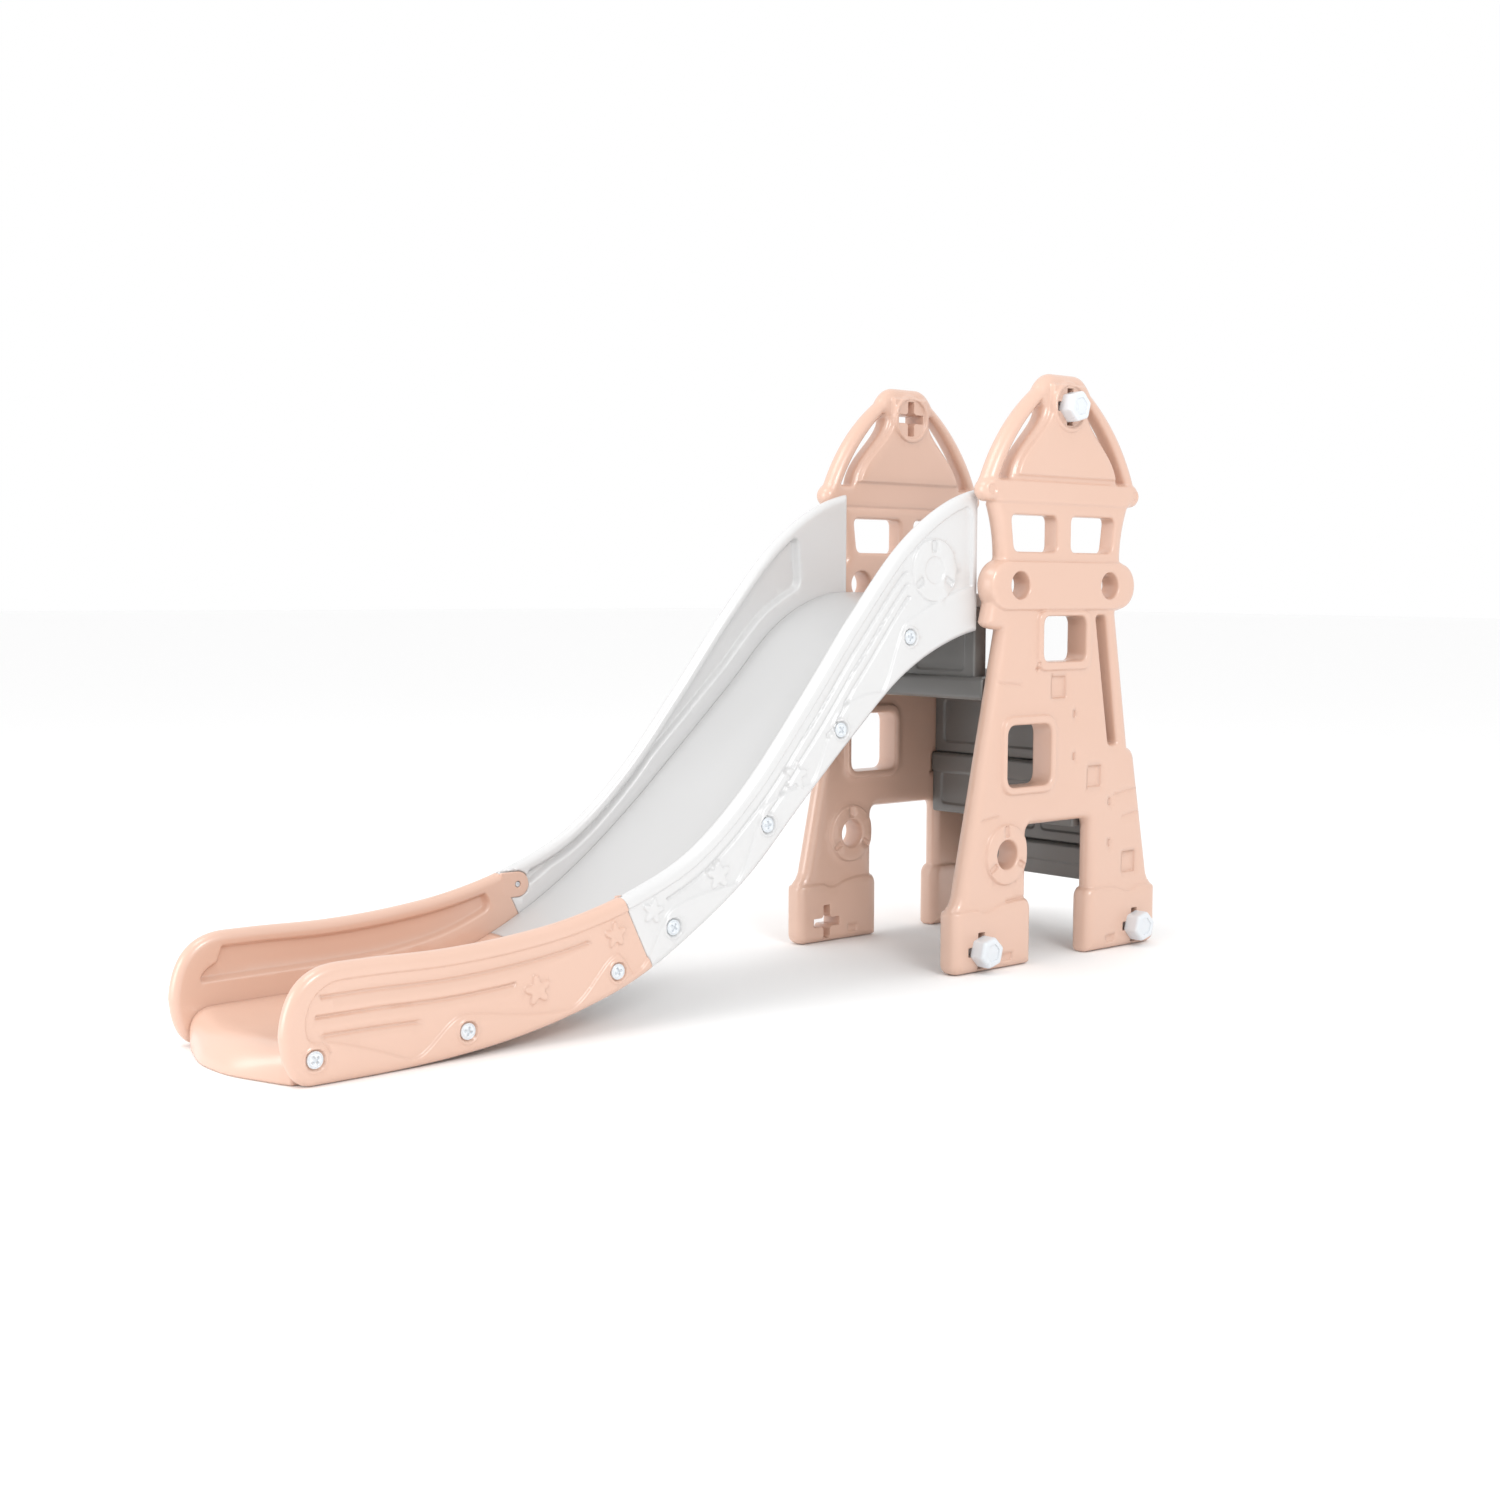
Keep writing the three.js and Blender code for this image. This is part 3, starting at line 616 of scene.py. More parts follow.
def node(tree: bpy.types.NodeTree, kind: str, settings: dict | None = None,
         **links: object) -> bpy.types.Node:
    """Adds a node with its settings and links.

    Args:
        tree: The node tree.
        kind: The node's type name.
        settings: Values of the node's properties, or of its input sockets by name.
        links: Output sockets to link, by input name with spaces as underscores.

    Returns:
        The new node.
    """
    made = tree.nodes.new(kind)
    for name, value in (settings or {}).items():
        if name in made.inputs:
            made.inputs[name].default_value = value
        else:
            setattr(made, name, value)
    for name, source in links.items():
        tree.links.new(source, made.inputs[name.replace("_", " ")])
    return made


@dataclass(frozen=True)
class MouldedPlastic:
    """A moulded plastic: a satin skin with the mould's fine orange peel, slow waves where the wall cooled
    unevenly, and faint scuffs that dull the gloss."""

    name: str
    colour: str
    shade: str
    roughness: float
    peel_mm: float = 2.2  # size of an orange-peel cell
    peel_depth_mm: float = 0.018
    sway_mm: float = 140.0  # size of the slow waves in a large blown wall
    sway_depth_mm: float = 0.25

    def material(self) -> bpy.types.Material:
        """Builds the node material."""
        material = bpy.data.materials.new(self.name)
        material.use_nodes = True
        tree = material.node_tree
        tree.nodes.clear()
        place = node(tree, "ShaderNodeTexCoord").outputs["Object"]
        slow = node(tree, "ShaderNodeTexNoise", {"Scale": 1 / (self.sway_mm * MM), "Detail": 2.0},
                    Vector=place)
        peel = node(tree, "ShaderNodeTexNoise", {"Scale": 1 / (self.peel_mm * MM), "Detail": 3.0},
                    Vector=place)
        scuff = node(tree, "ShaderNodeTexNoise",
                     {"Scale": 28.0, "Detail": 6.0, "Roughness": 0.7, "Distortion": 1.2}, Vector=place)
        base = node(tree, "ShaderNodeMixRGB",
                    {"Color1": linear(self.colour), "Color2": linear(self.shade)}, Fac=slow.outputs["Fac"])
        gloss = node(tree, "ShaderNodeMapRange",
                     {"From Min": 0.3, "From Max": 0.7, "To Min": self.roughness - 0.015,
                      "To Max": self.roughness + 0.02}, Value=scuff.outputs["Fac"])
        wave = node(tree, "ShaderNodeBump", {"Strength": 0.5, "Distance": self.sway_depth_mm * MM},
                    Height=slow.outputs["Fac"])
        skin = node(tree, "ShaderNodeBump", {"Strength": 0.6, "Distance": self.peel_depth_mm * MM},
                    Height=peel.outputs["Fac"], Normal=wave.outputs["Normal"])
        shader = node(tree, "ShaderNodeBsdfPrincipled",
                      {"IOR": 1.52, "Specular IOR Level": 0.9, "Coat Weight": 0.25, "Coat Roughness": 0.14},
                      Base_Color=base.outputs["Color"], Roughness=gloss.outputs["Result"],
                      Normal=skin.outputs["Normal"])
        node(tree, "ShaderNodeOutputMaterial", None, Surface=shader.outputs["BSDF"])
        return material


# ------------------------------------------------------------------------------------------- chute


@dataclass(frozen=True)
class ChuteLine:
    """A line of the chute in side view: a Catmull-Rom curve through heights at even stations.

    Between two stations with neighbours a, b, c, d and share f the height is
    (2b + (c-a)f + (2a-5b+4c-d)f^2 + (3b-a-3c+d)f^3) / 2, never below the floor.
    """

    shares: tuple[float, ...]
    head: float = -146.0
    pitch: float = 117.4
    rise: float = 693.0

    def height(self, x: Array | float) -> Array:
        """Height at x, in the towers' axes."""
        values = np.asarray(self.shares)
        t = np.clip((self.head - np.asarray(x, float)) / self.pitch, 0, len(values) - 1.0001)
        i = np.floor(t).astype(int)
        f = t - i
        a, b, c, d = (values[np.clip(i + k, 0, len(values) - 1)] for k in (-1, 0, 1, 2))
        second, third = 2 * a - 5 * b + 4 * c - d, 3 * b - a - 3 * c + d
        share = 0.5 * (2 * b + (c - a) * f + second * f**2 + third * f**3)
        return np.maximum(share, 0) * self.rise

    def slope(self, x: Array | float) -> Array:
        """Rise over run at x."""
        return (self.height(np.asarray(x) + 1) - self.height(np.asarray(x) - 1)) / 2

    def points(self, start: float, end: float, drop: float = 0.0, count: int = 160) -> Array:
        """Points of the line between two x, lowered by a distance at right angles to it."""
        x = np.linspace(start, end, count)
        steep = np.hypot(1, self.slope(x))
        return np.column_stack([x, self.height(x) - drop * steep])


BED_LINE = ChuteLine((1, 0.99, 0.909, 0.747, 0.59, 0.437, 0.304, 0.201, 0.13, 0.098, 0.089, 0.087, 0.085))
TOP_LINE = ChuteLine((1.284, 1.238, 1.126, 0.945, 0.739, 0.545, 0.401, 0.323, 0.277, 0.254, 0.245, 0.248,
                      0.248))
FOOT_LINE = ChuteLine((0.912, 0.872, 0.786, 0.642, 0.485, 0.323, 0.205, 0.113, 0.058, 0.024, 0.006, 0, 0))
SCREW_X = (-1535.0, -1285.0, -1009.0, -898.0, -698.0, -532.0, -366.0)
SCREW_DEPTH = 20.0  # under the bed's surface
NOSE_X = -1583.0  # the rails' foremost point


def screw_places() -> Array:
    """Places of the rail screws in side view: a fixed depth under the bed's surface."""
    x = np.array(SCREW_X)
    return np.column_stack([x, BED_LINE.height(x) - SCREW_DEPTH * np.hypot(1, BED_LINE.slope(x))])


def star(x: float, z: float, radius: float, turn: float) -> Array:
    """A five-pointed star with blunt points: radius (1 + 0.3 cos 5a) / 1.3 at angle a from its turn."""
    a = np.linspace(0, 2 * np.pi, 160, endpoint=False)
    r = radius * (1 + 0.30 * np.cos(5 * (a - np.radians(turn)))) / 1.30
    return even_loop(np.column_stack([x + r * np.cos(a), z + r * np.sin(a)]), 1.8)


def notched_ring(x: float, z: float, outer: float, inner: float, notch: Sequence[float],
                 turn: float) -> tuple[list[Array], list[Array]]:
    """A raised ring: its outer and inner loops, and three notches sunk into it a third of a turn apart."""
    length, width = notch
    centre = outer - length * 0.62
    notches = []
    for k in range(3):
        a = np.radians(turn + 120 * k)
        along, aside = np.array([np.cos(a), np.sin(a)]), np.array([-np.sin(a), np.cos(a)])
        middle = np.array([x, z]) + along * centre
        corners = [middle + along * length / 2 * s + aside * width / 2 * t
                   for s, t in ((-1, -1), (1, -1), (1, 1), (-1, 1))]
        notches.append(rounded_polygon(corners, 2.0, 1.8))
    return [circle(x, z, outer), circle(x, z, inner)], notches


@dataclass
class Chute:
    """The chute: two bed halves and four rail halves, held together by screws."""

    datum: Datum
    pink: bpy.types.Material
    white: bpy.types.Material
    # the bed's white, coloured darker as painted shade
    bed_white_with_painted_shade: bpy.types.Material
    cap: bpy.types.Material
    clearance: float = 2.0
    rail_wall: float = 28.0
    rail_end: float = -190.0
    rail_rim: float = 13.0
    joint_top_x: float = -997.0
    joint_foot_x: float = -938.0
    joint_gap: float = 0.3
    seam_x: float = -1020.0
    bed_end: float = -132.0
    bed_wall: float = 34.0
    bed_edge: float = 5.0  # radius of the bed's long edges
    bed_sag: float = 7.0
    bed_columns: int = 61
    lip_start: float = 62.0  # where the lip's roll starts, behind the nose
    lip_reach: float = 50.0
    lip_bow: float = 34.0
    lip_tuck: float = 14.0
    field_depth: float = 4.2
    groove_depth: float = 5.8
    sink_radius: float = 15.5
    sink_depth: float = 3.2
    collar_rise: float = 2.0
    collar_width: float = 4.5
    tab_reach: float = 24.0
    tab_above_bed: float = 40.0
    tab_radius: float = 22.0
    tab_wall: float = 6.0

    def _x(self, points: Array) -> Array:
        """Plane points moved from the towers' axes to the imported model's frame."""
        return points + np.array([self.datum.axis_x, 0.0])

    def joint_x(self, z: float) -> float:
        """x of the slanted joint between the rail halves at height z."""
        top, foot = float(TOP_LINE.height(self.joint_top_x)), float(FOOT_LINE.height(self.joint_foot_x))
        share = (z - foot) / (top - foot)
        return self.joint_foot_x + share * (self.joint_top_x - self.joint_foot_x)

    def tab_centre(self) -> tuple[float, float]:
        """Middle of the round tab at the joint."""
        middle = (self.joint_top_x + self.joint_foot_x) / 2 + self.tab_reach
        z = float(BED_LINE.height(middle)) + self.tab_above_bed
        return self.joint_x(z) + self.tab_reach, z

    def _nosed_outline(self, foot_end: float, top_start: float) -> Array:
        """Side outline of a rail with its nose, up to an end of its foot line and of its top line."""
        heel, brow = NOSE_X + 48, NOSE_X + 93
        drawn = Outline(heel, 0).through(FOOT_LINE.points(heel, foot_end))
        drawn.through(TOP_LINE.points(top_start, brow))
        return drawn.curve(NOSE_X + 8, 172, NOSE_X, 75).curve(NOSE_X + 6, 0, heel, 0).loop()

    def _half_outline(self, is_lower: bool) -> Array:
        """Side outline of one half of a rail, cut at the slanted joint."""
        top_x, foot_x, gap = self.joint_top_x, self.joint_foot_x, self.joint_gap
        if is_lower:
            return self._nosed_outline(foot_x - gap, top_x - gap)
        start = FOOT_LINE.points(foot_x + gap, self.rail_end)
        drawn = Outline(*start[0]).through(start[1:])
        return drawn.through(TOP_LINE.points(self.rail_end, top_x + gap)).loop()

    def _wave(self, x: Array) -> Array:
        """Height of the wavy line along a rail's foot: it climbs over each screw and then sinks slowly."""
        margin, over_screw, fade = 14.0, 26.0, 1.3
        lower_run, upper_run, lower_screws = 92.0, 66.0, 3
        places = screw_places()
        steep = np.hypot(1, BED_LINE.slope(x))
        floor = FOOT_LINE.height(x) + margin * np.hypot(1, FOOT_LINE.slope(x))
        line = floor.copy()
        for i, (screw_x, screw_z) in enumerate(places):
            run = lower_run if i < lower_screws else upper_run
            following = places[i + 1][0] if i + 1 < len(places) else 60.0
            climb = smooth((x - (screw_x - run)) / (run - 6)) if i else 1.0
            sink = 1 - np.clip((x - screw_x) / max(following - run * 1.05 - screw_x, 30), 0, 1) ** fade
            peak = screw_z + over_screw * steep + (x - screw_x) * BED_LINE.slope(screw_x)
            line = np.maximum(line, floor + (peak - floor) * (climb * sink))
        return line

    def _recess_outer(self, is_lower: bool) -> Array:
        """Loop of the sunken field on a rail's outer side, above the wavy line."""
        joint = self.joint_x(160)
        if is_lower:
            end = joint + 40
            x = np.linspace(NOSE_X + 62, end, 220)
            top = TOP_LINE.points(end, NOSE_X + 96, drop=24)
            wave = np.column_stack([x, self._wave(x)])
            drawn = Outline(*wave[0]).through(wave[1:]).through(top)
            drawn.bezier(NOSE_X + 42, 148, NOSE_X + 30, 100, NOSE_X + 36, 76)
            drawn.curve(NOSE_X + 38, 62, NOSE_X + 56, 62)
            drawn.curve(NOSE_X + 68, 60, NOSE_X + 72, 46).line(*wave[0])
            return drawn.loop(2.5)
        start, end = joint - 60, self.rail_end - 20
        x = np.linspace(start, end, 320)
        wave = np.column_stack([x, self._wave(x)])
        top = TOP_LINE.points(end - 14, start, drop=22)
        corner_x, corner_z = top[0]
        drawn = Outline(*wave[0]).through(wave[1:])
        drawn.line(end, corner_z - 26).curve(end, corner_z - 2, corner_x, corner_z)
        return drawn.through(top[1:]).loop(2.5)

    def _outer_relief(self, is_lower: bool) -> list[Relief]:
        """Relief of a rail's outer side: sunken field, wavy line, long grooves, stars, ring, screw seats.

        A groove is given by its drop under the top line and its two ends, a star by its place, radius
        and turn.
        """
        relief: list[Relief] = [Raised(self._x(self._recess_outer(is_lower)), -self.field_depth, 5.0)]
        if is_lower:
            grooves = ((46, NOSE_X + 62, -1063.0), (74, NOSE_X + 54, -1200.0), (102, NOSE_X + 66, -1370.0))
            stars = ((-1160.0, 88.0, 24.0, 100.0), (-1012.0, 156.0, 21.0, 96.0))
        else:
            grooves = ((42, -378.0, -905.0), (62, -372.0, -700.0), (82, -366.0, -560.0))
            stars = ((-938.0, 186.0, 21.0, 80.0), (-803.0, 232.0, 25.0, 96.0), (-634.0, 386.0, 25.0, 84.0))
        for drop, start, end in grooves:
            relief.append(Groove(self._x(TOP_LINE.points(start, end, drop=drop)), self.groove_depth, 5.0))
        relief += [Raised(self._x(star(*place)), 4.0, 3.6) for place in stars]
        for x, z in screw_places():
            if (x < self.joint_x(z)) == is_lower:
                collar = circle(x, z, self.sink_radius + self.collar_width, 2.0)
                seat = circle(x, z, self.sink_radius, 2.0)
                relief.append(Raised(self._x(collar), self.collar_rise, 3.0))
                relief.append(Raised(self._x(seat), -self.sink_depth - self.collar_rise, 1.6))
        if not is_lower:
            (outer, inner), notches = notched_ring(-305.0, 735.0, 56.0, 24.0, (21.0, 12.0), 92.0)
            relief += [Raised(self._x(outer), 4.4, 4.0), Raised(self._x(inner), -3.0, 4.0)]
            relief += [Raised(self._x(notch), -4.4, 2.5) for notch in notches]
        return relief

    def _inner_relief(self, is_lower: bool) -> list[Relief]:
        """Relief of a rail's inner side: one long deep field with a ridge below it."""
        x = np.linspace(NOSE_X + 48, -1030, 120) if is_lower else np.linspace(-942, -322, 240)
        steep = np.hypot(1, BED_LINE.slope(x))
        if is_lower:
            high = TOP_LINE.height(x[::-1]) - 24
            low = np.minimum(BED_LINE.height(x) + 40 * steep, TOP_LINE.height(x) - 42)
            drawn = Outline(x[0], low[0]).through(np.column_stack([x, low])[1:])
            drawn.curve(x[-1] + 14, low[-1] + 10, x[-1], high[0])
            drawn.through(np.column_stack([x[::-1], high])[:-8])
            drawn.curve(x[0] + 34, high[-1] - 4, x[0] + 26, high[-1] - 24)
            drawn.curve(x[0] + 4, low[0] + 16, x[0], low[0] + 4)
        else:
            high = TOP_LINE.height(x) - 21 * np.hypot(1, TOP_LINE.slope(x))
            low = np.minimum(BED_LINE.height(x) + 33 * steep, high - 10)
            drawn = Outline(x[0] - 6, low[0] + 2).through(np.column_stack([x, low])[2:-6])
            drawn.curve(x[-1] + 2, low[-1], x[-1] + 3, low[-1] + 18).line(x[-1] - 1, high[-1] - 18)
            drawn.curve(x[-1] - 3, high[-1] + 1, x[-9], high[-9])
            drawn.through(np.column_stack([x[::-1], high[::-1]])[9:-2])
        return [Raised(self._x(drawn.loop(2.5)), -13.0, 9.0)]

    def _joint_line(self, is_lower: bool) -> Array:
        """The slanted cut between the rail halves, on one half's side, drawn past both edges."""
        past = 30.0
        foot_z = float(FOOT_LINE.height(self.joint_foot_x)) - past
        top_z = float(TOP_LINE.height(self.joint_top_x)) + past
        shift = -self.joint_gap if is_lower else self.joint_gap
        ends = np.array([(self.joint_x(z) + shift, z) for z in (foot_z, top_z)])
        return even_path(self._x(ends), 2.5)

    def _rail(self, hand: Hand, is_lower: bool) -> Shell:
        """One half of a rail on one side."""
        half = self.rail_wall / 2
        whole = self._nosed_outline(self.rail_end, self.rail_end)
        rims = [Rim(self._x(whole), self.rail_rim), Rim(self._joint_line(is_lower), 1.6, is_closed=False)]
        outer, inner = self._outer_relief(is_lower), self._inner_relief(is_lower)
        if not is_lower:
            inner.append(Raised(self._tab_loop(0.8), -self.tab_wall - 0.4, 1.0))
        sides = (outer, inner) if hand is Hand.NEAR else (inner, outer)
        panel = Panel(self._x(self._half_outline(is_lower)), [], half, rims, *sides)
        y = self.datum.middle_y + hand.value * (self.datum.clear_half - self.clearance - half)
        return panel.placed(Facing.SIDE, (0, y, 0))

    def _tab_loop(self, grow: float) -> Array:
        """Round-ended tab at the joint, from inside the lower rail's end."""
        x, z = self.tab_centre()
        radius = self.tab_radius + grow
        drawn = Outline(x - 34, z - radius).line(x, z - radius).round(x, z, radius, -90, 90)
        return self._x(drawn.line(x - 34, z + radius).loop(1.8))

    def _tab(self, hand: Hand) -> Shell:
        """The lower rail's tab, which laps the upper rail's inner side."""
        x, z = self.tab_centre()
        hole = self._x(circle(x, z, 5.4, 1.4))
        loop = self._tab_loop(0.0)
        half = self.tab_wall / 2
        panel = Panel(loop, [hole], half, [Rim(loop, 2.2), Rim(hole, 1.4)], grid=5.0)
        inner = self.datum.clear_half - self.clearance - self.rail_wall
        y = self.datum.middle_y + hand.value * (inner + half - 0.1)
        return panel.placed(Facing.SIDE, (0, y, 0))

    def _bed(self, path: Array, wall: Array, bow: Array, tuck: Array) -> Shell:
        """A stretch of the bed: a hollowed section carried along a path in side view.

        Args:
            path: (n, 2) points of the upper surface's middle line, from the head down.
            wall: (n,) thickness at right angles to the path.
            bow: (n,) how far the middle of the width runs ahead of its edges.
            tuck: (n,) how far the two ends of the width draw back behind that.

        Returns:
            Vertices and faces.
        """
        half_width = self.datum.clear_half - self.clearance - self.rail_wall - self.joint_gap
        tangent = np.gradient(path, axis=0)
        tangent /= np.linalg.norm(tangent, axis=1)[:, None]
        normal = np.column_stack([tangent[:, 1], -tangent[:, 0]])
        normal *= np.sign(normal[:1, 1])
        across = half_width * np.sin(np.linspace(-np.pi / 2, np.pi / 2, self.bed_columns))
        edge = self.bed_edge
        inward = np.maximum(edge - (half_width - np.abs(across)), 0)
        fall = edge - np.sqrt(np.maximum(edge**2 - inward**2, 0))
        share = 1 - (across / half_width) ** 2
        top = np.minimum(self.bed_sag * (0.25 - smooth(share * 1.15)) - fall, 0.6)
        rows_top = path[:, None] + normal[:, None] * top[None, :, None]
        rows_low = path[:, None] - normal[:, None] * (wall[:, None] - fall)[..., None]
        ends = smooth((np.abs(across) / half_width - 0.2) / 0.8)
        ahead = (bow[:, None] * share - tuck[:, None] * ends)[..., None] * np.array([-1.0, 0.0])
        ring = np.concatenate([rows_top + ahead, (rows_low + ahead)[:, ::-1]], 1)
        y = np.concatenate([across, across[::-1]]) + self.datum.middle_y
        points = np.stack([ring[..., 0] + self.datum.axis_x, np.broadcast_to(y, ring.shape[:2]),
                           np.maximum(ring[..., 1], 0.0)], -1)
        return closed_grid(points)

    def _lower_bed(self) -> Shell:
        """The pink lower half of the bed, whose lip rolls down to the floor as a quarter ellipse."""
        line = BED_LINE.points(self.seam_x - self.joint_gap, NOSE_X + self.lip_start, count=70)
        a = np.linspace(0, np.pi / 2, 30)[1:]
        (x, z), floor = line[-1], 1.0
        roll = np.column_stack([x - self.lip_reach * np.sin(a), floor + (z - floor) * np.cos(a)])
        path = np.concatenate([line, roll])
        s = np.linspace(0, 1, len(path))
        wall = self.bed_wall - 14 * smooth((s - 0.6) / 0.3)
        bow = self.lip_bow * smooth((line[0, 0] - path[:, 0] - 380) / 190)
        tuck = self.lip_tuck * smooth((62 - path[:, 1]) / 62)
        return self._bed(path, wall, bow, tuck)

    def _upper_bed(self) -> Shell:
        """The white upper half of the bed, down to its seam; it is thinner before the deck."""
        path = BED_LINE.points(self.bed_end, self.seam_x + self.joint_gap, count=170)
        wall = self.bed_wall + 6 - 15 * smooth((path[:, 0] + 180) / 6)
        level = np.zeros(len(path))
        return self._bed(path, wall, level, level)

    def build(self) -> None:
        """Makes the rails, the bed and their screws."""
        for hand in Hand:
            side = hand.name.lower()
            for is_lower in (True, False):
                level = "lower" if is_lower else "upper"
                shell = self._rail(hand, is_lower)
                if is_lower:
                    shell = joined(shell, self._tab(hand))
                finish = (self.pink, "pink_plastic") if is_lower else (self.white, "white_plastic")
                rail = f"{level}_{side}_rail"
                make_piece(f"{rail}_shell", *shell, *finish, rail)
        make_piece("lower_bed_shell", *self._lower_bed(), self.pink, "pink_plastic", "lower_bed")
        # the upper bed gets the white darkened as painted shade
        make_piece("upper_bed_shell", *self._upper_bed(), self.bed_white_with_painted_shade, "white_plastic", "upper_bed")
        self._screws()

    def _screws(self) -> None:
        """Makes the rail screws and the two joint screws."""
        big, small = Screw(12.9, 5.0, 4.0, 40.0), Screw(4.4, 2.4, 2.2, 11.0)
        outside = self.datum.clear_half - self.clearance
        seat, tab = outside - 4.0, outside - self.rail_wall + 3.3
        tab_x, tab_z = self.tab_centre()
        for hand in Hand:
            side = hand.name.lower()
            for i, (x, z) in enumerate(screw_places(), 1):
                at = (x + self.datum.axis_x, self.datum.middle_y + hand.value * seat, z)
                self._screw(f"{side}_rail_screw_{i}", *big.placed(at, hand.value, turn=37.0 * i))
            at = (tab_x + self.datum.axis_x, self.datum.middle_y + hand.value * tab, tab_z)
            self._screw(f"{side}_joint_screw", *small.placed(at, -hand.value, turn=20.0))

    def _screw(self, name: str, vertices: Array, faces: Array) -> None:
        """Makes one screw."""
        make_piece(f"{name}_head", vertices, faces, self.cap, "white_nylon", name)


# ------------------------------------------------------------------------------------------- fasteners


@dataclass(frozen=True)
class Screw:
    """A pan-head screw with a cross recess, turned about its own axis."""

    head: float
    height: float
    shank: float
    length: float
    columns: int = 72

    def surface(self) -> Array:
        """Rings from the middle of the head's top to the tip.

        The head's top is a flat dome with a rounded edge and a ring groove near it. A ring's height
        sinks where it crosses the recess, a cross of two arms.
        """
        angle = np.linspace(0, 2 * np.pi, self.columns, endpoint=False)
        inner = np.linspace(0.02, 0.86, 22) * self.head
        edge = np.radians(np.linspace(0, 90, 8))
        bead, dome, shoulder = 0.14 * self.head, 0.09 * self.head, 0.07 * self.head
        radii = np.concatenate([inner, self.head - bead + bead * np.sin(edge),
                                [self.head, self.shank, self.shank, self.shank * 0.3]])
        heights = np.concatenate([self.height - dome * (inner / self.head) ** 2,
                                  self.height - shoulder - bead * (1 - np.cos(edge)),
                                  [0.0, 0.0, self.shank - self.length, -self.length]])
        rings = np.repeat(radii[:, None], self.columns, 1)
        tall = np.repeat(heights[:, None], self.columns, 1)
        across, up = np.abs(rings * np.cos(angle)), np.abs(rings * np.sin(angle))
        slot, arm = 0.14 * self.head, 0.6 * self.head
        beside_slot, reach = np.minimum(across, up) - slot, np.maximum(across, up)
        sunk = smooth(0.5 - beside_slot / (0.06 * self.head)) * smooth((arm - reach) / (0.12 * self.head))
        groove = np.exp(-((rings / self.head - 0.8) / 0.05) ** 2)
        is_top = (np.arange(len(radii)) < len(inner))[:, None]
        return turned(rings, np.where(is_top, tall - (sunk * 0.8 + groove * 0.25) * self.height, tall))

    def placed(self, at: Sequence[float], sign: int, turn: float) -> Shell:
        """The screw with its head facing along Y, on the side given by sign."""
        vertices, faces = closed_grid(self.surface()[:, ::-1])
        return faced(vertices, faces, at, sign, turn)


def faced(vertices: Array, faces: Array, at: Sequence[float], sign: int, turn: float) -> Shell:
    """Turns a piece about its own +Z, lays that axis along sign * Y and puts it in place."""
    spin = Matrix.Rotation(math.radians(turn), 3, "Z")
    lay = Matrix.Rotation(math.radians(-90 * sign), 3, "X")
    matrix = np.array(lay @ spin)
    return vertices @ matrix.T + np.asarray(at), faces


@dataclass
class Knobs:
    """The three hexagonal bayonet knobs of the near tower."""

    datum: Datum
    cap: bpy.types.Material
    flats: float = 52.0
    height: float = 32.0
    collar: float = 19.0
    collar_height: float = 3.0
    shank: float = 14.5
    lug: float = 31.0
    lug_width: float = 13.0
    lug_height: float = 8.0
    gap: float = 0.3
    columns: int = 144

    def _surface(self) -> Array:
        """Rings from the middle of the outer face down to the lugs.

        The head's radius at angle a is flats/2 over the norm of the cosines to the six flats, which is a
        hexagon with soft corners. Its face has a shallow dish and a rounded edge, and its sides draw in
        a little towards the collar. A lug ring's radius is that of a cross of two bars.
        """
        norm, first_flat = 22, 60.0
        a = np.linspace(0, 2 * np.pi, self.columns, endpoint=False)
        flats = np.cos(a[:, None] - np.radians(np.arange(6) * 60.0 + first_flat))
        hexagon = self.flats / 2 / np.sum(np.maximum(flats, 0) ** norm, 1) ** (1 / norm)
        c, s = np.abs(np.cos(a)) + 1e-9, np.abs(np.sin(a)) + 1e-9
        half = self.lug_width / 2
        bars = np.maximum(np.minimum(self.lug / c, half / s), np.minimum(self.lug / s, half / c))
        cross = np.maximum(bars, self.shank)
        top = self.collar_height + self.height
        dish, dish_share, edge, foot = 2.6, 0.62, 7.5, 2.0
        bend = np.radians(np.linspace(0, 90, 7))
        rows: list[tuple[Array, float]] = [
            (hexagon * share, top - dish) for share in (0.02, 0.15, 0.3, 0.42, 0.52)]
        rows += [(hexagon * (dish_share - 0.06 * np.cos(b)), top - dish * np.cos(b) ** 2) for b in bend]
        rows += [(hexagon * share, top) for share in (0.66, 0.72, 0.78)]
        rows += [(hexagon * (0.80 + 0.20 * np.sin(b)), top - edge * (1 - np.cos(b))) for b in bend]
        rows += [(hexagon, top - edge - down) for down in (4.0, 10.0, 20.0)]
        rows += [(hexagon * (1 - 0.035 * (1 - np.cos(b))), self.collar_height + foot * (1 - np.sin(b)))
                 for b in bend]
        ring = np.ones(self.columns)
        rows += [(ring * self.collar, self.collar_height), (ring * self.collar, self.gap),
                 (ring * (self.collar - 0.6), 0.0), (ring * self.shank, 0.0)]
        under = -self.datum.wall - 2 * self.gap
        rows += [(ring * self.shank, under), (cross * 0.97, under), (cross, under - 1.0),
                 (cross, under - self.lug_height + 1.5), (cross * 0.95, under - self.lug_height)]
        radii = np.stack([radius for radius, _ in rows])
        return turned(radii, np.array([[height] for _, height in rows]))

    def build(self) -> None:
        """Makes each knob where its joint is, turned to its locked place."""
        joints = {joint["child"]: joint for joint in frame["joints"]}
        vertices, faces = closed_grid(self._surface()[:, ::-1])
        for body in KNOB_BODIES:
            x, _, z = (value / MM for value in joints[body.value]["pos_m"])
            placed, _ = faced(vertices, faces, (x, self.datum.near_face - self.gap, z), -1, 45.0)
            make_piece(f"{body.value}_cap", placed, faces, self.cap, "white_nylon", body.value, body)


# ------------------------------------------------------------------------------------------- towers


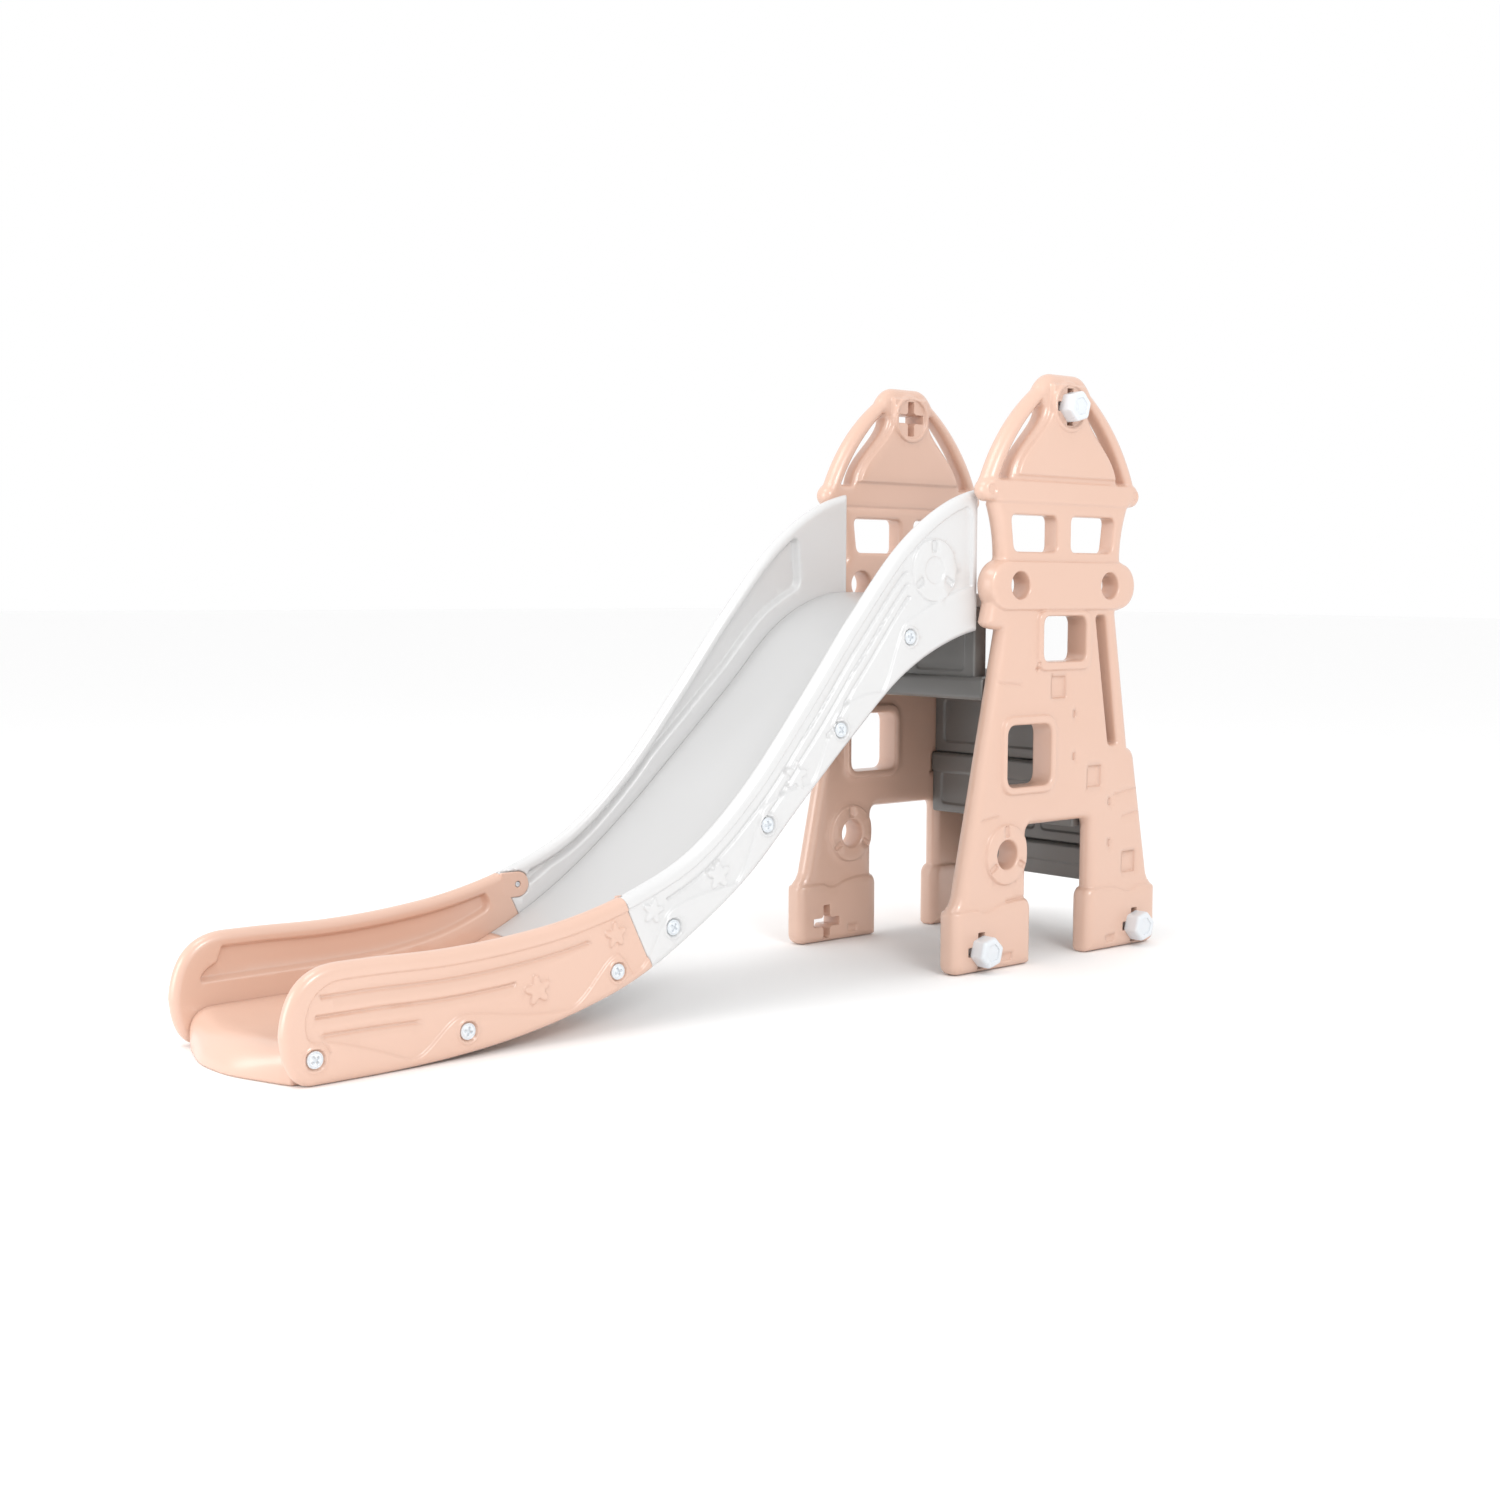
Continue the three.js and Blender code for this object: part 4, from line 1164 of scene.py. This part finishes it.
@dataclass
class Towers:
    """The two castle-gable tower panels."""

    datum: Datum
    pink: bpy.types.Material
    foot_half: float = 290.0
    knee_half: float = 270.0
    heel_half: float = 80.0  # from the middle to a boot's inner side
    leg_gap_half: float = 90.0
    boot_top: float = 118.0
    knee_rise: float = 24.0
    arch_top: float = 262.0
    toe: float = 22.0  # radius of a boot's outer corner
    soft: float = 8.0  # radius of its inner corner
    kink: tuple[float, float] = (366.0, 392.0)  # heights where the rear leg steps in
    shoulder_half: float = 157.0
    gallery: tuple[float, float, float] = (660.0, 97.0, 209.0)  # foot, height, half length
    waist_half: float = 170.0
    eave: tuple[float, float, float] = (860.0, 192.0, 21.0)  # foot, half length, radius of its ends
    roof: tuple[float, float] = (206.0, 904.0)
    crown: tuple[float, float] = (74.0, 1070.0)
    roof_bow: float = 15.0
    crown_half: float = 30.0
    height: float = 1100.0
    rim: float = 18.0
    tube: float = 31.0
    crown_hole_z: float = 1040.0
    foot_hole: tuple[float, float] = (220.0, 41.0)
    porthole: tuple[float, float] = (-153.0, 213.0)
    door: tuple[float, float, float, float] = (-60.0, 567.0, 60.0, 652.0)  # x0, z0, x1, z1
    door_frame: tuple[float, float, float, float] = (-76.0, 551.0, 76.0, 662.0)
    hatch: tuple[float, float, float, float] = (-155.5, 336.5, -34.5, 451.5)
    hatch_frame: tuple[float, float, float, float] = (-169.0, 323.0, -21.0, 468.0)
    pocket: float = 7.0  # how deep a tongue's place is sunk on the outer face
    socket: float = 28.6  # and on the inner face

    def _roof_control(self, inset: float) -> tuple[float, float]:
        """Control point of a roof tube's curve, moved in by inset."""
        foot, crown = np.array(self.roof), np.array(self.crown)
        along = (crown - foot) / np.linalg.norm(crown - foot)
        out = np.array([along[1], -along[0]])
        x, z = (foot + crown) / 2 + out * (2 * self.roof_bow - inset)
        return float(x), float(z)

    def _leg_x(self, z: float) -> float:
        """Half length of the leg at height z."""
        knee_z = self.boot_top + self.knee_rise
        share = (z - knee_z) / (self.gallery[0] - knee_z)
        return self.knee_half + share * (self.shoulder_half - self.knee_half)

    def outline(self) -> Array:
        """Side outline, from the front foot anticlockwise."""
        low, tall, reach = self.gallery
        centre, ball = low + tall / 2, tall / 2
        eave_z, eave_half, roll = self.eave
        (roof_x, roof_z), (crown_x, crown_z) = self.roof, self.crown
        cx, cz = self._roof_control(0)
        foot, knee, boot, toe = self.foot_half, self.knee_half, self.boot_top, self.toe
        heel, leg, soft = self.heel_half, self.leg_gap_half, self.soft
        arch, spring = self.arch_top, self.arch_top - 18
        kink_low, kink_high = self.kink
        drawn = Outline(toe - foot, 0).line(-heel - soft, 0).curve(-heel, 0, -heel, soft)
        drawn.line(-heel, boot - 14).curve(-heel, boot, -leg, boot + soft)
        drawn.line(-leg, spring).curve(-leg, arch, 18 - leg, arch).line(leg - 18, arch)
        drawn.curve(leg, arch, leg, spring).line(leg, boot + soft).curve(heel, boot, heel, boot - 14)
        drawn.line(heel, soft).curve(heel, 0, heel + soft, 0).line(foot - toe, 0).curve(foot, 0, foot, toe)
        drawn.line(foot, boot - 10).curve(foot, boot, knee + 6, boot + 12).line(knee, boot + self.knee_rise)
        drawn.line(self._leg_x(kink_low) + 4, kink_low)
        drawn.curve(self._leg_x(kink_high) + 6, kink_high, self._leg_x(kink_high) - 12, kink_high + 2)
        drawn.line(self.shoulder_half + 2, low - 4).line(reach - ball, low)
        drawn.round(reach - ball, centre, ball, -90, 75.6).line(self.waist_half, low + tall + 3)
        drawn.curve(self.waist_half, eave_z - 50, eave_half, eave_z)
        drawn.round(roof_x - 6, eave_z + roll, roll, -90, 54).line(roof_x, roof_z + 4)
        drawn.curve(cx, cz, crown_x, crown_z)
        drawn.curve(self.crown_half + 25, self.height, self.crown_half, self.height)
        drawn.line(-self.crown_half, self.height)
        drawn.curve(-self.crown_half - 25, self.height, -crown_x, crown_z).curve(-cx, cz, -roof_x, roof_z + 4)
        drawn.round(6 - roof_x, eave_z + roll, roll, 126, 270).line(-eave_half, eave_z)
        drawn.curve(-self.waist_half, eave_z - 50, -self.waist_half, low + tall + 3)
        drawn.round(ball - reach, centre, ball, 104.4, 219.6)
        drawn.line(2 - reach, low - 18).curve(4 - reach, low - 32, -self.shoulder_half - 8, low - 32)
        drawn.line(-knee, boot + self.knee_rise).line(-knee - 6, boot + 12)
        drawn.curve(-foot, boot, -foot, boot - 10).line(-foot, toe).curve(-foot, 0, toe - foot, 0)
        return drawn.loop(3.0)

    def _roof_slot(self, side: int) -> Array:
        """A long slot between a roof tube and the gable's plate."""
        x, z = self._roof_control(self.tube)
        base = self.roof[1]
        drawn = Outline(side * 154, base).line(side * (self.roof[0] - self.tube * 0.9), base)
        drawn.curve(side * x, z, side * 66, 1048).line(side * 61, 1040)
        drawn.bezier(side * 62, 1000, side * 140, base + 62, side * 151, base + 3)
        return drawn.loop(2.5)

    def _gable_plate(self) -> Array:
        """The raised plate of the gable: a bell that narrows to the crown's neck."""
        right = Outline(138, 910).bezier(128, 962, 54, 990, 48, 1034).line(46, 1080).points()
        return even_loop(np.concatenate([right, right[::-1] * np.array([-1.0, 1.0])]), 2.5)

    def _cross(self, x: float, z: float) -> Array:
        """The cross-shaped hole for a knob's bayonet, with a round middle."""
        arm, half, bore = 34.0, 8.5, 15.1
        a = np.linspace(0, 2 * np.pi, 720, endpoint=False)
        c, s = np.abs(np.cos(a)) + 1e-9, np.abs(np.sin(a)) + 1e-9
        bars = np.maximum(np.minimum(arm / c, half / s), np.minimum(arm / s, half / c))
        r = np.maximum(bars, bore)
        return even_loop(np.column_stack([x + r * np.cos(a), z + r * np.sin(a)]), 2.2)

    def openings(self) -> list[tuple[Array, float]]:
        """Each opening's loop and the radius of its rim."""
        cross_rim, handle = 1.5, [[97, 652], [141, 402], [166, 402], [127, 652]]
        through: list[tuple[Array, float]] = []
        for side in (-1, 1):
            window = [[side * 20, 771], [side * 138, 771], [side * 147, 838], [side * 20, 838]]
            through += [(self._roof_slot(side), 12.0), (rounded_polygon(window, 14), 7.0),
                        (circle(side * 127, 709, 25), 5.0),
                        (self._cross(side * self.foot_hole[0], self.foot_hole[1]), cross_rim)]
        through += [(self._cross(0, self.crown_hole_z), cross_rim), (pane(*self.door, 18), 6.0),
                    (pane(*self.hatch, 22), 7.0), (rounded_polygon(handle, 10, 2.5), 10.0),
                    (circle(*self.porthole, 27), 5.0)]
        return through

    def _tongue_places(self, depth: float, slope: float) -> list[Relief]:
        """Sunken places where the steps' tongues end, one beside each tread."""
        margin, clearance = 1.5, 0.6
        half = TONGUE_HALF + clearance
        foot, head = SLAB - margin + clearance, margin - clearance
        places = [(TONGUE_X + STEP_PITCH * level, DECK_TOP - STEP_DROP * level) for level in range(3)]
        loops = [pane(x - half, top - foot, x + half, top - head, 3, 2.5) for x, top in places]
        return [Raised(loop, -depth, slope) for loop in loops]

    def _foot_slots(self) -> list[Relief]:
        """A short slot in each boot."""
        return [Raised(pane(side * 149 - 12, 15, side * 149 + 12, 29, 2, 2.0), -4.0, 2.5)
                for side in (-1, 1)]

    def _shared_relief(self) -> list[Relief]:
        """Relief that both faces have: frames, gable plate, crown boss, ring and boots."""
        relief: list[Relief] = [
            Raised(pane(*self.door_frame, 24), 7.5, 6),
            Raised(pane(*self.hatch_frame, 32), 8.0, 6),
            Raised(self._gable_plate(), 7.5, 7),
            Raised(circle(0, self.crown_hole_z, 47, 2.5), 4.5, 4),
            Raised(circle(0, self.crown_hole_z, 39, 2.5), -4.5, 3),
        ]
        (ring, _), notches = notched_ring(*self.porthole, 56, 31, (20, 11), 92)
        relief.append(Raised(ring, 7.0, 5))
        relief += [Raised(notch, -5.0, 2.5) for notch in notches]
        past, knee = 30, self.boot_top
        for side in (-1, 1):
            inner, outer = side * (self.heel_half - past), side * (self.foot_half + past)
            boot = Outline(inner, -past).line(outer, -past).line(outer, knee - 6)
            boot.curve(side * 255, knee + 2, side * 225, knee - 2)
            boot.curve(side * 205, knee - 14, side * 180, knee - 2)
            boot.curve(side * 150, knee + 8, side * 110, knee + 6).line(inner, knee + 6)
            relief.append(Raised(boot.loop(2.5), 5.0, 5))
        return relief

    def _outer_relief(self) -> list[Relief]:
        """Relief of the outer face: the shared relief, gallery, eave, pockets and stone-like marks."""
        low, tall, reach = self.gallery
        ball, inset = tall / 2, 4
        eave_z, roof_z = self.eave[0], self.roof[1]
        relief = self._shared_relief()
        gallery = Outline(-reach + ball, low + inset).line(reach - ball, low + inset)
        gallery.round(reach - ball, low + ball, ball - inset, -90, 90)
        gallery.line(-reach + ball, low + tall - inset)
        gallery.round(-reach + ball, low + ball, ball - inset, 90, 270)
        relief.append(Raised(gallery.loop(2.5), 7.0, 6))
        eave = Outline(-235, eave_z).line(235, eave_z).line(235, roof_z - inset).line(-235, roof_z - inset)
        relief.append(Raised(eave.loop(3.0), 4.0, 6))
        relief += [Raised(circle(side * (self.roof[0] - inset), eave_z + 22, 9, 2.0), -3.5, 4)
                   for side in (-1, 1)]
        relief += self._tongue_places(self.pocket, 2.5)
        lines = (((-172, 531), (-120, 527)), ((160, 304), (224, 312)), ((186, 259), (232, 266)),
                 ((-214, 279), (-178, 284)), ((-150, 124), (-98, 129)))
        relief += [Groove(np.array(line, float), 3.2, 4.0) for line in lines]
        for level in range(3):
            x, z = TONGUE_X + STEP_PITCH * level, DECK_TOP - 22 - STEP_DROP * level
            for dx, dz in ((-61, 42), (-61, 123))[:1 if level == 0 else 2]:
                tick = pane(x + dx - 3, z + dz - 7, x + dx + 3, z + dz + 7, 2, 1.5)
                relief.append(Raised(tick, -5.0, 2.0))
        return relief + self._foot_slots()

    def _inner_relief(self) -> list[Relief]:
        """Relief of the inner face: the shared relief, a groove under the eave, and sockets."""
        eave_z = self.eave[0]
        groove = Groove(np.array([(-200.0, eave_z), (200.0, eave_z)]), 3.0, 4.5)
        sockets = self._tongue_places(self.socket, 1.2)
        return [*self._shared_relief(), groove, *sockets, *self._foot_slots()]

    def _panel(self, hand: Hand) -> Shell:
        """One tower panel in place."""
        openings = self.openings()
        outline = self.outline()
        rims = [Rim(outline, self.rim), *(Rim(loop, radius) for loop, radius in openings)]
        sides = (self._outer_relief(), self._inner_relief())
        if hand is Hand.FAR:
            sides = sides[::-1]
        half = self.datum.wall / 2
        panel = Panel(outline, [loop for loop, _ in openings], half, rims, *sides)
        y = self.datum.middle_y + hand.value * (self.datum.clear_half + half)
        return panel.placed(Facing.SIDE, (self.datum.axis_x, y, 0))

    def build(self) -> None:
        """Makes both tower panels."""
        for hand in Hand:
            panel = f"{hand.name.lower()}_tower"
            make_piece(f"{panel}_shell", *self._panel(hand), self.pink, "pink_plastic", f"{panel}_panel")


# ------------------------------------------------------------------------------------------- steps


@dataclass
class Stair:
    """The deck, two steps and the risers between them."""

    datum: Datum
    grey: bpy.types.Material
    deck_front: float = -182.0
    riser_x: float = 75.0
    riser_wall: float = 24.0
    nosing: float = 3.0
    last_depth: float = 105.0
    tongue_short: float = 10.0
    tongue_thinner: float = 1.9
    skirt_wall: float = 24.0
    skirt_drop: float = 80.0
    last_skirt_drop: float = 26.0
    upstand_wall: float = 34.0
    upstand_overlap: float = 12.0
    upstand_setback: float = 10.0
    rib_pitch: float = 15.0
    gap: float = 0.3

    def _tread(self, back: float, front: float, level: int) -> Shell:
        """A tread slab with its tongues, ribbed on top and hollowed below, its edges rounded."""
        half_width = self.datum.clear_half - self.gap
        reach = self.datum.clear_half + self.datum.wall - self.tongue_short
        x = TONGUE_X + level * STEP_PITCH
        t0, t1 = x - TONGUE_HALF, x + TONGUE_HALF
        near = [(back, -half_width), (t0, -half_width), (t0, -reach), (t1, -reach), (t1, -half_width),
                (front, -half_width)]
        far = [(along, -across) for along, across in reversed(near)]
        outline = rounded_polygon(near + far, 3.0, 3.0)
        rib_end = half_width - 26
        ribs = [Groove(np.array([(rib, -rib_end), (rib, rib_end)]), -1.8, 3.6)
                for rib in np.arange(back + 22, front - 14, self.rib_pitch)]
        thin, past = [], 24
        for side in (-1, 1):
            y = side * (half_width + past)
            thin.append(Raised(pane(t0 - 8, y - past, t1 + 8, y + past, 2), -self.tongue_thinner, 2))
        under = [Raised(pane(back + 16, -half_width + 16, front - 16, half_width - 16, 10), -3.0, 6)]
        panel = Panel(outline, [], SLAB / 2, [Rim(outline, 9.0)], ribs + thin, under + thin, grid=12.0)
        top = DECK_TOP - level * STEP_DROP
        return panel.placed(Facing.TREAD, (self.datum.axis_x, self.datum.middle_y, top - SLAB / 2))

    def _upright(self, x0: float, x1: float, low: float, high: float, half_width: float) -> Shell:
        """An upright wall across the object; a tall one has two sunken fields on both faces."""
        outline = pane(-half_width, low, half_width, high, 6)
        height = high - low
        relief: list[Relief] = []
        if height > 60:
            margin = min(22.0, height * 0.18)
            fields = (-half_width + 26, -8), (8, half_width - 26)
            relief = [Raised(pane(a, low + margin, b, high - margin, 12), -3.0, 6) for a, b in fields]
        panel = Panel(outline, [], (x1 - x0) / 2, [Rim(outline, 5.0)], relief, relief, grid=12.0)
        return panel.placed(Facing.EXIT, (self.datum.axis_x + (x0 + x1) / 2, self.datum.middle_y, 0))

    def build(self) -> None:
        """Makes the deck, the steps and the risers."""
        half = self.datum.clear_half - self.gap
        bed_low, bed_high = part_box("upper_bed")
        bed_half = (bed_high[1] - bed_low[1]) / 2 / MM
        upstand_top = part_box("deck")[1][2] / MM
        front = self.deck_front + self.upstand_setback
        nose = self.riser_x + self.riser_wall + self.nosing
        self._add("deck", self._tread(self.deck_front, nose, 0),
                  self._upright(front, front + self.upstand_wall, DECK_TOP - self.upstand_overlap,
                                upstand_top, bed_half))
        for level, name in ((1, "middle_step"), (2, "lower_step")):
            back = self.riser_x + (level - 1) * STEP_PITCH
            is_last = level == 2
            ahead = back + (self.last_depth if is_last else STEP_PITCH + self.riser_wall + self.nosing)
            top = DECK_TOP - level * STEP_DROP
            drop = self.last_skirt_drop if is_last else self.skirt_drop
            skirt = self._upright(back + self.nosing, back + self.nosing + self.skirt_wall,
                                  top - SLAB - drop, top - SLAB / 2, half)
            self._add(name, self._tread(back, ahead, level), skirt)
        for name in ("upper_riser", "lower_riser"):
            low, high = (np.array(corner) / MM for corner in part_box(name))
            x0, x1 = low[0] - self.datum.axis_x, high[0] - self.datum.axis_x
            self._add(name, self._upright(x0, x1, low[2], high[2], half))

    def _add(self, name: str, *shells: Shell) -> None:
        """Joins the shells of one piece and makes it."""
        make_piece(f"{name}_shell", *joined(*shells), self.grey, "grey_plastic", name)


# ------------------------------------------------------------------------------------------- studio


@dataclass(frozen=True)
class Studio:
    """A pale floor, soft lights and the camera."""

    eye: tuple[float, float, float] = (-2880.0, -2719.5, 711.4)  # from the towers' axis and middle plane
    yaw: float = 43.11
    pitch: float = -5.35
    roll: float = -0.39
    lens: float = 48.17
    shift: tuple[float, float] = (-0.0667, 0.0139)
    floor_half: float = 40.0  # metres

    def _floor(self) -> None:
        """A pale matt floor, half a millimetre under the object."""
        half = self.floor_half
        mesh = bpy.data.meshes.new("studio_floor")
        corners = [(-half, -half, 0), (half, -half, 0), (half, half, 0), (-half, half, 0)]
        mesh.from_pydata(corners, [], [(0, 1, 2, 3)])
        floor = bpy.data.objects.new("studio_floor", mesh)
        floor.location = (0, 0, -0.0005)
        bpy.context.scene.collection.objects.link(floor)
        material = bpy.data.materials.new("pale_studio_paint")
        material.use_nodes = True
        shader = material.node_tree.nodes["Principled BSDF"]
        shader.inputs["Base Color"].default_value = linear("fcfcfc")
        shader.inputs["Roughness"].default_value = 0.9
        shader.inputs["Specular IOR Level"].default_value = 0.1
        mesh.materials.append(material)

    def _world(self) -> None:
        """Even white surroundings, shown without a film's tone curve."""
        world = bpy.data.worlds.new("studio_surroundings")
        world.use_nodes = True
        background = world.node_tree.nodes["Background"]
        background.inputs["Color"].default_value = linear("ffffff")
        background.inputs["Strength"].default_value = 1.0
        bpy.context.scene.world = world
        bpy.context.scene.view_settings.view_transform = "Standard"

    def _light(self, name: str, place: Sequence[float], aim: Sequence[float], size: Sequence[float],
               power: float) -> None:
        """An area light, wide and tall as size says, that faces a point."""
        data = bpy.data.lights.new(name, "AREA")
        data.shape = "RECTANGLE"
        data.size, data.size_y = size
        data.energy = power
        lamp = bpy.data.objects.new(name, data)
        lamp.location = place
        lamp.rotation_euler = (Vector(aim) - Vector(place)).to_track_quat("-Z", "Y").to_euler()
        bpy.context.scene.collection.objects.link(lamp)

    def _camera(self, datum: Datum) -> None:
        """The camera, looking across the exit towards the towers."""
        data = bpy.data.cameras.new("studio_camera")
        data.lens = self.lens
        data.sensor_width = 36.0
        data.shift_x, data.shift_y = self.shift
        data.clip_end = 200.0
        camera = bpy.data.objects.new("studio_camera", data)
        x, y, z = self.eye
        place = Matrix.Translation(((x + datum.axis_x) * MM, (y + datum.middle_y) * MM, z * MM))
        turn = Matrix.Rotation(math.radians(-self.yaw), 4, "Z")
        tilt = Matrix.Rotation(math.radians(90 + self.pitch), 4, "X")
        lean = Matrix.Rotation(math.radians(-self.roll), 4, "Z")
        camera.matrix_world = place @ turn @ tilt @ lean
        bpy.context.scene.collection.objects.link(camera)
        bpy.context.scene.camera = camera

    def build(self, datum: Datum) -> None:
        """Makes the studio."""
        self._floor()
        self._world()
        self._light("left_softbox", (-4.2, 1.1, 1.35), (0.3, 0.0, 0.6), (2.4, 2.5), 60.0)
        self._light("front_softbox", (-0.9, -4.0, 3.0), (0.2, 0.0, 0.4), (1.4, 1.4), 66.0)
        self._light("top_softbox", (-1.6, 0.3, 3.6), (0.0, 0.0, 0.4), (2.0, 1.2), 22.0)
        self._camera(datum)


# ------------------------------------------------------------------------------------------- main


def main() -> None:
    """Builds the slide and its studio, piece by piece."""
    logging.basicConfig(level=logging.INFO, format="%(message)s")
    datum = read_datum()
    pink = MouldedPlastic("blow_moulded_pink_polyethylene", "d8b4a1", "d5b09c", 0.3).material()
    white = MouldedPlastic("blow_moulded_white_polyethylene", "d4d4d4", "d1d1d1", 0.3).material()
    # The bed's sliding face is the rails' white polyethylene coloured darker (bfbfbf against d4d4d4) as
    # painted shade; only its higher roughness is its own.
    bed_white_with_painted_shade = MouldedPlastic("satin_sliding_face_polyethylene", "bfbfbf", "bcbcbc", 0.38).material()
    grey = MouldedPlastic("blow_moulded_grey_polyethylene", "6b6a68", "636260", 0.42).material()
    cap = MouldedPlastic("injection_moulded_white_nylon", "dce1e5", "d6dbe0", 0.28, peel_mm=1.2,
                         peel_depth_mm=0.008, sway_depth_mm=0.02).material()
    Studio().build(datum)
    Towers(datum, pink).build()
    Chute(datum, pink, white, bed_white_with_painted_shade, cap).build()
    Stair(datum, grey).build()
    Knobs(datum, cap).build()


if __name__ == "__main__":
    main()
